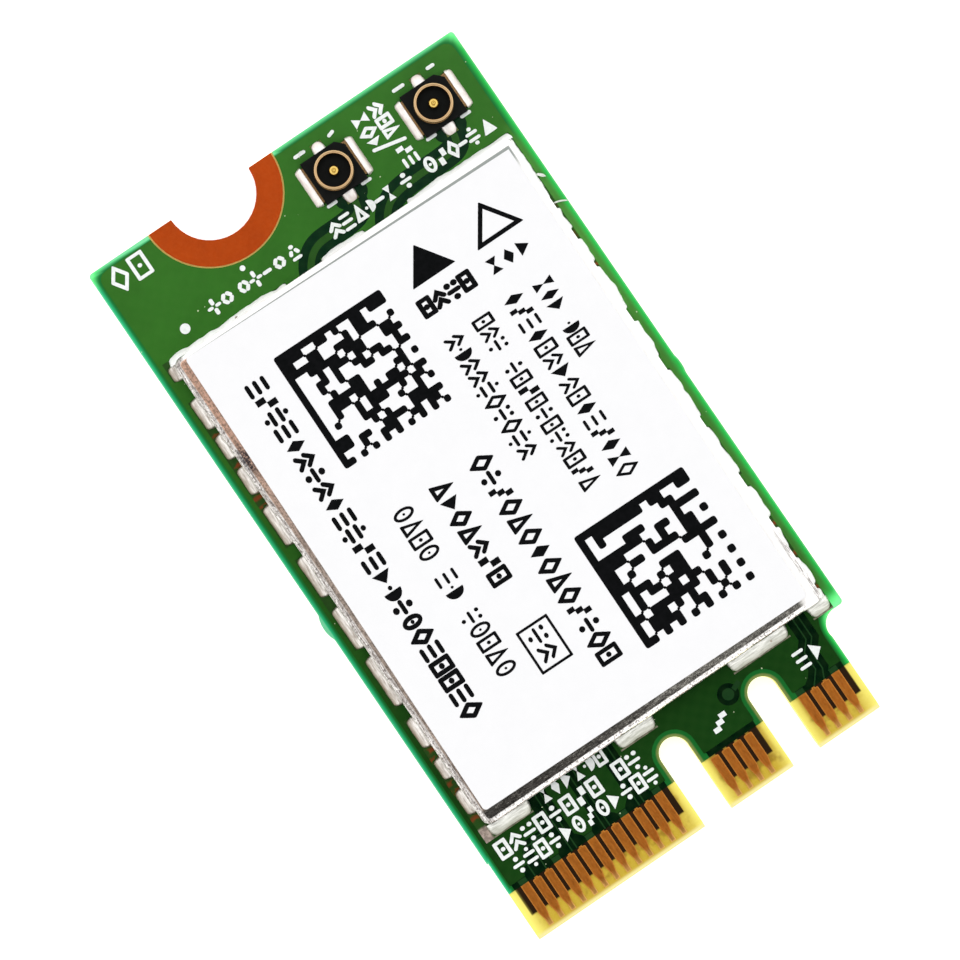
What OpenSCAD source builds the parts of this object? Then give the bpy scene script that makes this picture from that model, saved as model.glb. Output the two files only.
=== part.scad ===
// Plug-in radio card for a laptop, keyed for two slot types.
// Origin: axis of the half-round mounting hole, on the underside of the board.
// +X runs across the card, +Y out of the mounting end, +Z out of the parts side.

/* [Board] */
// Thickness of the finished board over both coats of solder mask
board_t = 0.8; // [0.7:0.05:1.0]
// Distance from the mounting hole's axis to the left edge
board_left = 5.5; // [5.4:0.05:6]
// Distance from the mounting hole's axis to the right edge
board_right = 11; // [10.8:0.1:12]
// Length from the mounting end to the tip of the card edge
board_len = 30; // [30:0.5:32]
// Radius of the two corners at the mounting end
board_corner_r = 0.15; // [0.05:0.05:0.4]
// Thickness of a face's skin: mask where it is coated, plated copper where it is bare
skin_t = 0.04; // [0.03:0.01:0.06]
// Width of the bare rim that the mask leaves beside a key slot
mask_rim = 0.1; // [0.05:0.05:0.2]

/* [Card edge] */
// Length of the narrow tongue that enters the slot
tongue_len = 4; // [3.9:0.1:4.2]
// Right edge of the tongue, from the mounting hole's axis
tongue_right = 9.925; // [9.8:0.025:10]
// How far the tongue's left edge stands in from the board's
tongue_left_step = 0.05; // [0.02:0.01:0.1]
// Radius of the cutter that leaves the shoulder beside the tongue
shoulder_r = 0.65; // [0.4:0.05:0.8]
// Place across the card of contact 1
first_contact_x = 9.25; // [9.25]
// Step between neighbouring contacts of opposite faces
contact_step = 0.25; // [0.25]
// Width of a contact
contact_w = 0.35; // [0.3:0.01:0.38]
// Width of a contact's narrow tip
contact_tip_w = 0.2; // [0.15:0.01:0.3]
// Distance from the mounting end to where the mask stops
mask_end = 27.97; // [27.5:0.01:28]
// Width of a key slot
key_w = 1.2; // [1.1:0.05:1.3]
// Depth of a key slot
key_depth = 3.5; // [3:0.1:3.6]
// Places of the key slots across the card
key_x = [2.625, 6.625];
// Length of the bevel at the tip
bevel_len = 0.25; // [0.1:0.05:0.3]
// Depth of the bevel at the tip
bevel_depth = 0.12; // [0.05:0.01:0.2]

/* [Mounting hole] */
// Radius of the half-round screw hole
hole_r = 1.75; // [1.5:0.05:2]
// Radius of the bare copper land round it
land_r = 2.75; // [2.5:0.05:2.9]
// Gap between the land and the mask
land_gap = 0.04; // [0.02:0.01:0.08]

/* [Shield can] */
// Width of the can
shield_w = 15.1; // [14.9:0.05:15.2]
// Length of the can
shield_len = 20.85; // [20.6:0.05:20.9]
// Left wall of the can, from the mounting hole's axis
shield_left = -4.72; // [-4.8:0.01:-4.6]
// Wall of the can nearest the mounting end
shield_near = -4.6; // [-4.7:0.01:-4.55]
// Height of the can above its pads
shield_h = 1.35; // [1.3:0.05:1.4]
// Thickness of the sheet
sheet_t = 0.15; // [0.1:0.01:0.2]
// Outside radius of the bend between top and walls
bend_r = 0.25; // [0.2:0.01:0.3]
// Outside radius of the upright corners
shield_corner_r = 0.34; // [0.3:0.01:0.5]
// Height of the openings along the can's lower edge
mouse_hole_h = 0.2; // [0.1:0.05:0.3]

/* [Label] */
// Width of the paper label on the can
label_w = 14.35; // [14:0.05:14.4]
// Length of the label
label_len = 20.1; // [19.8:0.05:20.2]
// Thickness of the label
label_t = 0.08; // [0.05:0.01:0.1]
// How far the label was stuck on askew, in degrees
label_skew = -0.6; // [-1:0.1:0]
// How much shorter the label was cut along its right side
label_trim = 0.12; // [0:0.01:0.2]

/* [Antenna sockets] */
// Places of the two sockets across the card
socket_x = [4.33, 8.84];
// Distance of the sockets from the mounting end
socket_y = -1.94; // [-2:0.01:-1.86]
// Outside diameter of a socket's round shell
shell_d = 1.5; // [1.4:0.01:1.6]
// Wall of the round shell at its lip
shell_wall = 0.12; // [0.1:0.01:0.15]
// Height of a socket above the board
socket_h = 0.6; // [0.55:0.01:0.65]
// Side of the moulded base
base_side = 1.84; // [1.75:0.01:1.86]
// Thickness of the moulded base
base_h = 0.25; // [0.22:0.01:0.3]
// Diameter of the centre pin
pin_d = 0.4; // [0.3:0.01:0.45]

/* [Hidden] */
$fn = 48;

// Heights of the layers
lam_bottom = skin_t;
lam_top = board_t - skin_t;

// Outline
tongue_top = tongue_len - board_len;
left_step_y = tongue_top - 0.6;
cutter_x = tongue_right + shoulder_r - 0.025;
slot_r = key_w / 2;
slot_centre_y = key_depth - board_len - slot_r;
plating_t = 0.035;
// Snapped-off tabs of the panel: middle along the edge, half length, height
left_nub = [-15.95, 0.55, 0.12];
right_nub = [-15.2, 0.4, 0.05];

// Contacts, by the numbers at the ends of each run, with the odd ones on top
top_runs = [[1, 7], [17, 23], [33, 57]];
bottom_runs = [[0, 6], [16, 22], [32, 58]];
contact_top_y = -28.03;
contact_neck_w = 0.1;
contact_round = 0.06;
taper_start_y = -29.15;
taper_end_y = -29.5;
contact_end_y = -29.78;
bottom_contact_end_y = -29.1;
// Contacts that run straight under the mask, being ground or supply
wide_contacts = [1, 7, 33, 39, 45, 51, 57];
// Contacts that nothing on this face is wired to
loose_contacts = [17, 19, 21, 23];

// Shield can
shield_right = shield_left + shield_w;
shield_far = shield_near - shield_len;
shield_mid = [shield_left + shield_w / 2, shield_near - shield_len / 2];
can_top = board_t + shield_h;
inner_bend_r = bend_r - sheet_t;
inner_corner_r = shield_corner_r - sheet_t;
pad_inside = 0.25;
left_reach = 0.36;
right_reach = 0.2;
near_reach = 0.25;
far_reach = 0.5;
// Pads along each wall as [start, end] pairs; the can stands clear of the board between them
left_pads = [[-5.17, -4.35], [-12.66, -6.08], [-17.28, -13.2], [-19.92, -17.8], [-25.95, -20.45]];
right_pads = [[-12.35, -4.35], [-14.5, -12.95], [-17.25, -15.1], [-19.9, -17.75], [-25.95, -20.4]];
near_pads = [[-5.08, 0.47], [2.05, 4.01], [5.95, 10.58]];
far_pads = [[-5.08, -2.95], [1, 2.65], [6.1, 8.65], [9.7, 10.58]];
// Beads of solder along each wall
left_beads = [[-5.17, -4.6], [-7.35, -6.08], [-8.75, -7.8], [-10.37, -9.2], [-12.65, -10.87], [-15, -13.2],
    [-17.27, -15.5], [-19.9, -17.8], [-21.78, -20.45], [-23.2, -22.27], [-24.75, -23.7], [-25.45, -25.2]];
right_beads = [[-7.3, -4.6], [-8.7, -7.8], [-10.3, -9.2], [-12.35, -10.85], [-14.5, -12.95], [-17.25, -15.1],
    [-19.9, -17.75], [-21.8, -20.4], [-23.1, -22.3], [-24.8, -23.6], [-25.45, -25]];
near_beads = [[-5.08, -4], [-3.93, -2.7], [-2.2, -1.33], [-0.85, 0.47], [2.05, 4.01], [5.95, 7.02],
    [7.65, 8.55], [9.1, 10.58]];

// Label
label_mid = [2.83, -14.92];
label_corner_r = 0.15;

// Antenna sockets, measured from a socket's axis
base_half = base_side / 2;
base_top = board_t + base_h;
base_cut = 0.3;
floor_z = base_top - 0.05;
plate_bottom = board_t + 0.06;
plate_top = board_t + 0.16;
plate_half = base_half - 0.06;
shell_top = board_t + socket_h;
foot_reach = 1.02;
foot_w = 1.5;
pin_top = board_t + 0.52;
pin_foot_w = 0.3;
pin_foot_t = 0.1;
side_pad = [0.88, 1.25];
side_pad_half = 0.8;
end_pad = [0.94, 1.32];
end_pad_half = 0.25;

// Rectangle between two corners with rounded corners
module soft_rect(from, to, r) {
    translate([from[0] + r, from[1]]) square([to[0] - from[0] - 2 * r, to[1] - from[1]]);
    translate([from[0], from[1] + r]) square([to[0] - from[0], to[1] - from[1] - 2 * r]);
    for (x = [from[0] + r, to[0] - r])
        for (y = [from[1] + r, to[1] - r])
            translate([x, y]) circle(r = r);
}

// Plain rectangle between two corners
module rect(from, to) {
    translate(from) square(to - from);
}

// Lens that a snapped-off tab leaves on an edge: inside is 1 where the board lies to its right
module nub(edge_x, tab, inside) {
    tab_r = (tab[1] * tab[1] + tab[2] * tab[2]) / (2 * tab[2]);
    translate([edge_x + inside * (tab_r - tab[2]), tab[0]]) circle(r = tab_r);
}

module key_slot(x, grow) {
    translate([x, slot_centre_y]) circle(r = slot_r + grow);
    rect([x - slot_r - grow, -board_len - 1], [x + slot_r + grow, slot_centre_y]);
}

// Outline of the board, with the key slots widened by grow and the screw hole at radius open_r
module board_outline(grow, open_r) {
    difference() {
        union() {
            soft_rect([-board_left, tongue_top], [board_right, 0], board_corner_r);
            rect([-board_left, left_step_y], [0, tongue_top + 1]);
            rect([tongue_left_step - board_left, -board_len], [tongue_right, tongue_top + 1]);
            rect([tongue_right - 1, tongue_top - shoulder_r], [cutter_x, tongue_top + 1]);
            nub(-board_left, left_nub, 1);
            nub(board_right, right_nub, -1);
        }
        for (x = key_x) key_slot(x, grow);
        translate([cutter_x, tongue_top - shoulder_r]) circle(r = shoulder_r);
        circle(r = open_r);
    }
}

// Wedge that the bevel takes off one face of the tip
module tip_wedge() {
    past = 0.1;
    translate([-board_left - 1, 0, 0])
        rotate([90, 0, 90])
            linear_extrude(board_left + board_right + 2)
                polygon([[-board_len - past, bevel_depth * (1 + past / bevel_len)],
                    [-board_len - past, -past], [bevel_len - board_len + past, -past],
                    [bevel_len - board_len, 0], [-board_len, bevel_depth]]);
}

module board_laminate() {
    color("#e8cf4c")
        difference() {
            translate([0, 0, lam_bottom])
                linear_extrude(lam_top - lam_bottom)
                    board_outline(0, hole_r + plating_t);
            translate([0, 0, lam_bottom]) tip_wedge();
            translate([0, 0, lam_top]) mirror([0, 0, 1]) tip_wedge();
        }
}

// One coat of mask down to where the contacts begin
module mask_sheet() {
    difference() {
        board_outline(mask_rim, land_r + land_gap);
        rect([-board_left - 1, -board_len - 1], [board_right + 1, -mask_end]);
    }
}

// Flat outlines of the can's pads
module shield_pad_outlines() {
    for (p = left_pads)
        rect([shield_left - left_reach, p[0]], [shield_left + pad_inside, p[1]]);
    for (p = right_pads)
        rect([shield_right - pad_inside, p[0]], [shield_right + right_reach, p[1]]);
    for (p = near_pads)
        rect([p[0], shield_near - pad_inside], [p[1], shield_near + near_reach]);
    for (p = far_pads)
        rect([p[0], shield_far - far_reach], [p[1], shield_far + pad_inside]);
}

// Flat outlines of the four lands under one antenna socket
module socket_pad_outlines() {
    for (side = [-1, 1]) {
        translate([side * (side_pad[0] + side_pad[1]) / 2, 0])
            square([side_pad[1] - side_pad[0], 2 * side_pad_half], center = true);
        translate([0, side * (end_pad[0] + end_pad[1]) / 2])
            square([2 * end_pad_half, end_pad[1] - end_pad[0]], center = true);
    }
}

module solder_mask_top() {
    color("#2f7a24")
        translate([0, 0, lam_top])
            linear_extrude(skin_t)
                difference() {
                    mask_sheet();
                    shield_pad_outlines();
                    for (x = socket_x) translate([x, socket_y]) socket_pad_outlines();
                }
}

module solder_mask_bottom() {
    color("#2a6f20") linear_extrude(skin_t) mask_sheet();
}

function contact_x(number) = first_contact_x - (number - 1) * contact_step;
function is_one_of(number, list) = len([for (n = list) if (n == number) n]) > 0;

// Flat outline of one contact, from the mask down to its narrow tip
module contact_outline(wide, wired) {
    half = contact_w / 2;
    tip_half = contact_tip_w / 2;
    top_y = wide ? -mask_end : contact_top_y;
    polygon([[-half, top_y - contact_round], [half, top_y - contact_round], [half, taper_start_y],
        [tip_half, taper_end_y], [tip_half, contact_end_y], [-tip_half, contact_end_y],
        [-tip_half, taper_end_y], [-half, taper_start_y]]);
    if (wide) {
        rect([-half, top_y - contact_round - 0.01], [half, top_y]);
    } else {
        soft_rect([-half, top_y - 0.3], [half, top_y], contact_round);
        if (wired) rect([-contact_neck_w / 2, top_y - 0.1], [contact_neck_w / 2, -mask_end]);
    }
}

module contacts_top() {
    color("#c98a3a")
        for (run = top_runs)
            for (number = [run[0]:2:run[1]])
                translate([contact_x(number), 0, lam_top])
                    linear_extrude(skin_t)
                        contact_outline(is_one_of(number, wide_contacts), !is_one_of(number, loose_contacts));
}

module contacts_bottom() {
    color("#b87830")
        for (run = bottom_runs)
            for (number = [run[0]:2:run[1]])
                translate([contact_x(number), 0, 0])
                    linear_extrude(skin_t)
                        rect([-contact_w / 2, bottom_contact_end_y], [contact_w / 2, -mask_end]);
}

// Plated land: a ring on each face joined by the plating down the half-round hole
module mounting_land() {
    section = [[hole_r, 0], [land_r, 0], [land_r, lam_bottom], [hole_r + plating_t, lam_bottom],
        [hole_r + plating_t, lam_top], [land_r, lam_top], [land_r, board_t], [hole_r, board_t]];
    color("#b8501c")
        difference() {
            rotate_extrude() polygon(section);
            translate([-land_r - 1, 0, -1]) cube([2 * land_r + 2, land_r + 1, board_t + 2]);
        }
}

module shield_pads() {
    color("#b98a55")
        translate([0, 0, lam_top])
            linear_extrude(skin_t)
                shield_pad_outlines();
}

// Bead along X from x = 0, lying against a wall that faces -Y
module bead(length, reach) {
    r = min(reach, 0.48 * length);
    intersection() {
        rotate([0, 90, 0])
            rotate_extrude()
                intersection() {
                    union() {
                        translate([0, r]) circle(r = r);
                        translate([0, length - r]) circle(r = r);
                        rect([-r, r], [r, length - r]);
                    }
                    rect([0, -1], [r + 1, length + 1]);
                }
        translate([-1, -reach - 1, 0]) cube([length + 2, reach + 1, reach + 1]);
    }
}

module shield_solder() {
    color("#e8e4dc")
        translate([0, 0, board_t]) {
            for (b = far_pads)
                translate([b[0], shield_far, 0]) bead(b[1] - b[0], far_reach);
            for (b = near_beads)
                translate([b[1], shield_near, 0]) rotate([0, 0, 180]) bead(b[1] - b[0], near_reach);
            for (b = left_beads)
                translate([shield_left, b[1], 0]) rotate([0, 0, -90]) bead(b[1] - b[0], left_reach);
            for (b = right_beads)
                translate([shield_right, b[0], 0]) rotate([0, 0, 90]) bead(b[1] - b[0], right_reach);
        }
}

// Half section of a drawn form: upright side at x = half, rounded into a flat top at height h
module drawn_section(half, h, r) {
    rect([0, 0], [half, h - r]);
    rect([0, 0], [half - r, h]);
    translate([half - r, h - r]) circle(r = r);
}

// Drawn box of size w by l, height h, with corner_r round its corners and r over its top edge
module drawn_box(w, l, h, corner_r, r) {
    for (sx = [-1, 1])
        for (sy = [-1, 1])
            translate([sx * (w / 2 - corner_r), sy * (l / 2 - corner_r), 0])
                rotate_extrude() drawn_section(corner_r, h, r);
    rotate([90, 0, 0])
        translate([0, 0, corner_r - l / 2])
            linear_extrude(l - 2 * corner_r)
                for (flip = [0, 1]) mirror([flip, 0]) drawn_section(w / 2, h, r);
    rotate([90, 0, 90])
        translate([0, 0, corner_r - w / 2])
            linear_extrude(w - 2 * corner_r)
                for (flip = [0, 1]) mirror([flip, 0]) drawn_section(l / 2, h, r);
}

// Openings between the pads of one wall, given the pads in rising order
function gaps_between(pads) = [for (i = [0:len(pads) - 2]) [pads[i][1], pads[i + 1][0]]];
function from_low_end(pads) = [for (i = [len(pads) - 1:-1:0]) pads[i]];

module mouse_holes() {
    across = 4 * sheet_t;
    for (wall = [[near_pads, shield_near], [far_pads, shield_far]])
        for (g = gaps_between(wall[0]))
            translate([g[0], wall[1] - across, -1]) cube([g[1] - g[0], 2 * across, 1 + mouse_hole_h]);
    for (wall = [[left_pads, shield_left], [right_pads, shield_right]])
        for (g = gaps_between(from_low_end(wall[0])))
            translate([wall[1] - across, g[0], -1]) cube([2 * across, g[1] - g[0], 1 + mouse_hole_h]);
}

module shield_can() {
    color("#c9c4bb")
        translate([0, 0, board_t])
            difference() {
                translate([shield_mid[0], shield_mid[1], 0])
                    difference() {
                        drawn_box(shield_w, shield_len, shield_h, shield_corner_r, bend_r);
                        translate([0, 0, -1])
                            drawn_box(shield_w - 2 * sheet_t, shield_len - 2 * sheet_t,
                                shield_h - sheet_t + 1, inner_corner_r, inner_bend_r);
                    }
                mouse_holes();
            }
}

module label() {
    color("white")
        translate([label_mid[0], label_mid[1], can_top])
            rotate([0, 0, label_skew])
                linear_extrude(label_t)
                    difference() {
                        soft_rect([-label_w / 2, -label_len / 2], [label_w / 2, label_len / 2], label_corner_r);
                        polygon([[-label_w / 2, label_len / 2], [label_w / 2, label_len / 2 - label_trim],
                            [label_w / 2, label_len], [-label_w / 2, label_len]]);
                    }
}

// Square with its far right corner cut off
module cut_square(half, cut) {
    polygon([[-half, -half], [half, -half], [half, half - cut], [half - cut, half], [-half, half]]);
}

// Section of the drawn shell: rolled lip, snap groove, and a bend out into the plate at its root
module shell_section(inner, outer) {
    lip_r = shell_wall / 2;
    inside_bend = floor_z - plate_bottom;
    outside_bend = base_top - plate_top;
    groove_r = 0.11;
    groove_depth = 0.05;
    difference() {
        union() {
            rect([inner, plate_bottom], [outer, shell_top - lip_r]);
            translate([outer - lip_r, shell_top - lip_r]) circle(r = lip_r);
            rect([inner, plate_bottom], [outer + outside_bend, base_top]);
        }
        translate([outer + outside_bend, base_top]) circle(r = outside_bend);
        translate([outer + groove_r - groove_depth, base_top + 0.13]) circle(r = groove_r);
        difference() {
            rect([0, 0], [inner + inside_bend, floor_z]);
            translate([inner + inside_bend, floor_z]) circle(r = inside_bend);
        }
    }
}

// Round shell on its plate, with a flat foot out to each side
module socket_shell() {
    outer = shell_d / 2;
    inner = outer - shell_wall;
    rotate_extrude() shell_section(inner, outer);
    translate([0, 0, plate_bottom])
        linear_extrude(plate_top - plate_bottom)
            difference() {
                union() {
                    cut_square(plate_half, base_cut);
                    rect([-foot_reach, -foot_w / 2], [foot_reach, foot_w / 2]);
                }
                circle(r = outer + (base_top - plate_top) / 2);
            }
    for (x = [-foot_reach, base_half])
        translate([x, -foot_w / 2, board_t])
            cube([foot_reach - base_half, foot_w, plate_top - board_t]);
}

// Turned pin with a domed, dimpled head on a flat foot that leaves under the shell
module socket_pin() {
    r = pin_d / 2;
    dome = 0.12;
    rotate_extrude()
        difference() {
            union() {
                rect([0, board_t], [r, pin_top - dome]);
                rect([0, board_t], [r - dome, pin_top]);
                translate([r - dome, pin_top - dome]) circle(r = dome);
            }
            translate([0, pin_top + 0.03]) circle(r = 0.09);
            rect([-1, 0], [0, pin_top + 1]);
        }
    translate([-pin_foot_w / 2, -foot_reach, board_t])
        cube([pin_foot_w, foot_reach, plate_bottom - board_t]);
    translate([-pin_foot_w / 2, -foot_reach, board_t])
        cube([pin_foot_w, foot_reach - base_half, pin_foot_t]);
}

// Moulded base: a block with one cut corner, a floor inside the shell, and room for the metal
module socket_base() {
    difference() {
        translate([0, 0, board_t]) linear_extrude(base_h) cut_square(base_half, base_cut);
        translate([0, 0, floor_z]) cylinder(d = shell_d - 2 * shell_wall, h = 1);
        socket_shell();
        socket_pin();
    }
}

module at_socket(index) {
    translate([socket_x[index], socket_y, 0]) children();
}

module main_socket_base() { color("#1c1c20") at_socket(0) socket_base(); }
module main_socket_shell() { color("#c9985c") at_socket(0) socket_shell(); }
module main_socket_pin() { color("#e8c06a") at_socket(0) socket_pin(); }
module aux_socket_base() { color("#1c1c20") at_socket(1) socket_base(); }
module aux_socket_shell() { color("#c9985c") at_socket(1) socket_shell(); }
module aux_socket_pin() { color("#e8c06a") at_socket(1) socket_pin(); }

// Solder on a socket's four lands: low slabs with rounded tops against the feet
module socket_joints() {
    side_w = side_pad[1] - foot_reach;
    for (side = [-1, 1]) {
        // under the foot and out to the land's edge
        translate([side > 0 ? side_pad[0] : -side_pad[1], -side_pad_half, lam_top])
            cube([side_pad[1] - side_pad[0], 2 * side_pad_half, skin_t]);
        intersection() {
            translate([side * foot_reach, side_pad_half, board_t]) rotate([90, 0, 0])
                cylinder(r = side_w, h = 2 * side_pad_half);
            translate([side > 0 ? foot_reach : -side_pad[1], -side_pad_half, board_t])
                cube([side_w, 2 * side_pad_half, 1]);
        }
    }
    // land of the pin's foot, and the tab's land opposite
    for (side = [-1, 1])
        translate([-end_pad_half, side > 0 ? end_pad[0] : -end_pad[1], lam_top])
            cube([2 * end_pad_half, end_pad[1] - end_pad[0], skin_t]);
    for (turn = [0, 180])
        rotate([0, 0, turn])
            intersection() {
                translate([-end_pad_half, -foot_reach, board_t]) rotate([0, 90, 0])
                    cylinder(r = end_pad[1] - foot_reach, h = 2 * end_pad_half);
                translate([-end_pad_half, -end_pad[1], board_t])
                    cube([2 * end_pad_half, end_pad[1] - foot_reach, 1]);
            }
}

module socket_solder() {
    color("#eeeae2")
        for (index = [0, 1]) at_socket(index) socket_joints();
}

// Flat chip package with its corner mark
module chip(size, mark_r) {
    difference() {
        linear_extrude(size[2])
            soft_rect([-size[0] / 2, -size[1] / 2], [size[0] / 2, size[1] / 2], 0.08);
        translate([mark_r * 2.5 - size[0] / 2, size[1] / 2 - mark_r * 2.5, size[2] - 0.03])
            cylinder(r = mark_r, h = 1);
    }
}

// Chip part with a cap over each end of its body
module end_capped(size, cap) {
    inset = 0.02;
    translate([-size[0] / 2, -size[1] / 2 + inset, inset])
        cube([size[0], size[1] - 2 * inset, size[2] - 2 * inset]);
    for (x = [-size[0] / 2, size[0] / 2 - cap])
        translate([x, -size[1] / 2, 0]) cube([cap, size[1], size[2]]);
}

// Stands a part on the board at a place, turned by a quarter turn where quarter is 1
module on_board(place, quarter = 0) {
    translate([place[0], place[1], board_t]) rotate([0, 0, 90 * quarter]) children();
}

chip_size = [9, 9, 0.85];
chip_place = [2.6, -15.6];
front_end_size = [3, 3, 0.6];
front_end_y = -8.2;
capacitor_size = [1, 0.5, 0.5];
resistor_size = [0.6, 0.3, 0.25];

module radio_chip() {
    color("#2b2b2e") on_board(chip_place) chip(chip_size, 0.25);
}

module clock_crystal() {
    color("#b9b4a8")
        on_board([-3, -19.2], 1) {
            linear_extrude(0.4) soft_rect([-1.25, -1], [1.25, 1], 0.15);
            translate([0, 0, 0.3]) linear_extrude(0.3) soft_rect([-1.1, -0.85], [1.1, 0.85], 0.2);
        }
}

module main_front_end() {
    color("#333236") on_board([1, front_end_y]) chip(front_end_size, 0.15);
}

module aux_front_end() {
    color("#333236") on_board([6.6, front_end_y]) chip(front_end_size, 0.15);
}

module band_filters() {
    color("#d9d2c0")
        for (x = [1, 6.6]) on_board([x, -5.6]) end_capped([1.6, 0.8, 0.6], 0.3);
}

module memory_chip() {
    color("#2b2b2e") on_board([-2.8, -9.6]) chip([2, 3, 0.6], 0.12);
}

module power_inductor() {
    color("#4c4a48")
        on_board([8.4, -22.4]) {
            linear_extrude(1) soft_rect([-1, -0.8], [1, 0.8], 0.1);
            for (x = [-1.25, 1])
                translate([x, -0.8, 0]) cube([0.25, 1.6, 0.9]);
        }
}

module capacitors() {
    color("#b59a6e") {
        for (i = [0:5]) on_board([-1 + 1.3 * i, -21.4], 1) end_capped(capacitor_size, 0.25);
        for (i = [0:3]) on_board([8.6, -12.4 - 1.5 * i]) end_capped(capacitor_size, 0.25);
        for (x = [-0.6, 5]) on_board([x - 0.6, -10.4], 1) end_capped(capacitor_size, 0.25);
        on_board([5.6, -23.4]) end_capped(capacitor_size, 0.25);
    }
}

module resistors() {
    color("#3a3a3c") {
        for (i = [0:3]) on_board([-3.2, -13 - 0.9 * i]) end_capped(resistor_size, 0.15);
        for (x = [3.3, 8.9]) on_board([x, -7.4], 1) end_capped(resistor_size, 0.15);
        for (x = [-0.8, 0.4]) on_board([x, -23.6]) end_capped(resistor_size, 0.15);
    }
}

board_laminate();
solder_mask_top();
solder_mask_bottom();
contacts_top();
contacts_bottom();
mounting_land();
shield_pads();
shield_solder();
shield_can();
label();
main_socket_base();
main_socket_shell();
main_socket_pin();
aux_socket_base();
aux_socket_shell();
aux_socket_pin();
socket_solder();
radio_chip();
clock_crystal();
main_front_end();
aux_front_end();
band_filters();
memory_chip();
power_inductor();
capacitors();
resistors();
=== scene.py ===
import math

import bmesh
import bpy
from mathutils import Matrix, Vector, noise
from mathutils.geometry import delaunay_2d_cdt


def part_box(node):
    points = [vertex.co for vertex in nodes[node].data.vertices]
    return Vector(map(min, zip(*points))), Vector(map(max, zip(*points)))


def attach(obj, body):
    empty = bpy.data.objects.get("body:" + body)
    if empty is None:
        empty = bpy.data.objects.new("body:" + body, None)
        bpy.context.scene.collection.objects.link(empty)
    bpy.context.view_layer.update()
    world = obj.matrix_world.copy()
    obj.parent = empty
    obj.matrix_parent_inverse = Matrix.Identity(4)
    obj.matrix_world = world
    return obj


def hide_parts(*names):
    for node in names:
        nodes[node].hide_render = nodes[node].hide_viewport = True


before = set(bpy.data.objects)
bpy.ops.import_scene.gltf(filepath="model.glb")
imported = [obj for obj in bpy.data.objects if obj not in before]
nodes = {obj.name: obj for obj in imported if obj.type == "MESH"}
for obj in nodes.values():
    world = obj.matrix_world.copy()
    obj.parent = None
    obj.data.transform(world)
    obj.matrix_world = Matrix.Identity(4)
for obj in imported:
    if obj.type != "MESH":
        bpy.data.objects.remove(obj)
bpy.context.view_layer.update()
mm = 0.001


# flat outlines, all in millimetres on the board's plane
def arcPoints(center, radius, start, end, steps):
    angles = [math.radians(start + (end - start) * i / steps) for i in range(steps + 1)]
    return [(center[0] + radius * math.cos(a), center[1] + radius * math.sin(a)) for a in angles]


def ovalPoints(center, halfWide, halfTall=None, steps=20):
    turns = [2 * math.pi * i / steps for i in range(steps)]
    return [(center[0] + halfWide * math.cos(a), center[1] + (halfTall or halfWide) * math.sin(a)) for a in turns]


def boxPoints(x0, y0, x1, y1):
    return [(x0, y0), (x1, y0), (x1, y1), (x0, y1)]


def signedArea(points):
    return sum(p[0] * q[1] - q[0] * p[1] for p, q in zip(points, points[1:] + points[:1])) / 2


def roundCorners(points, radius, steps=4):
    soft = []
    for i, point in enumerate(points):
        here = Vector(point[:2])
        before, after = Vector(points[i - 1][:2]) - here, Vector(points[(i + 1) % len(points)][:2]) - here
        cut = point[2] if len(point) > 2 else radius  # a third number is that corner's own radius
        if before.length < 1e-6 or after.length < 1e-6 or cut <= 0:
            soft.append(tuple(here))
            continue
        reach = min(cut, before.length * 0.48, after.length * 0.48)
        a, b = here + before.normalized() * reach, here + after.normalized() * reach
        for t in [k / steps for k in range(steps + 1)]:
            soft.append(tuple(a * (1 - t) ** 2 + here * 2 * t * (1 - t) + b * t ** 2))
    return soft


def smoothPath(points, rounds=2):
    path = [Vector(p) for p in points]
    for _ in range(rounds):
        cut = [path[0]]
        for a, b in zip(path, path[1:]):
            cut += [a.lerp(b, 0.25), a.lerp(b, 0.75)]
        path = cut + [path[-1]]
    return [tuple(p) for p in path]


def strokeOutline(points, width, capSteps=5):
    path = [Vector(p) for p in points]
    left, right = [], []
    for i, p in enumerate(path):
        ahead = (path[i + 1] - p).normalized() if i < len(path) - 1 else None
        behind = (p - path[i - 1]).normalized() if i else None
        one, other = ahead or behind, behind or ahead
        run = (one + other).normalized()
        side = Vector((-run.y, run.x))
        reach = side * width / 2 / max(0.4, side.dot(Vector((-one.y, one.x))))
        left.append(p + reach)
        right.append(p - reach)

    def cap(center, direction):
        turn = math.degrees(math.atan2(direction.y, direction.x))
        return arcPoints(center, width / 2, turn - 90, turn + 90, capSteps)[1:-1] if capSteps else []

    first, last = (path[0] - path[1]).normalized(), (path[-1] - path[-2]).normalized()
    outline = [tuple(p) for p in right] + cap(path[-1], last)
    return outline + [tuple(p) for p in reversed(left)] + cap(path[0], first)


def frameShape(points, width):
    corners = [Vector(p) for p in points]
    if signedArea(points) < 0:
        corners.reverse()
    outer, inner = [], []
    for i, p in enumerate(corners):
        a, b = (p - corners[i - 1]).normalized(), (corners[(i + 1) % len(corners)] - p).normalized()
        side = (Vector((a.y, -a.x)) + Vector((b.y, -b.x))).normalized()
        reach = side * (width / 2 / max(0.35, side.dot(Vector((a.y, -a.x)))))
        outer.append(tuple(p + reach))
        inner.append(tuple(p - reach))
    return outer, inner


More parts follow.
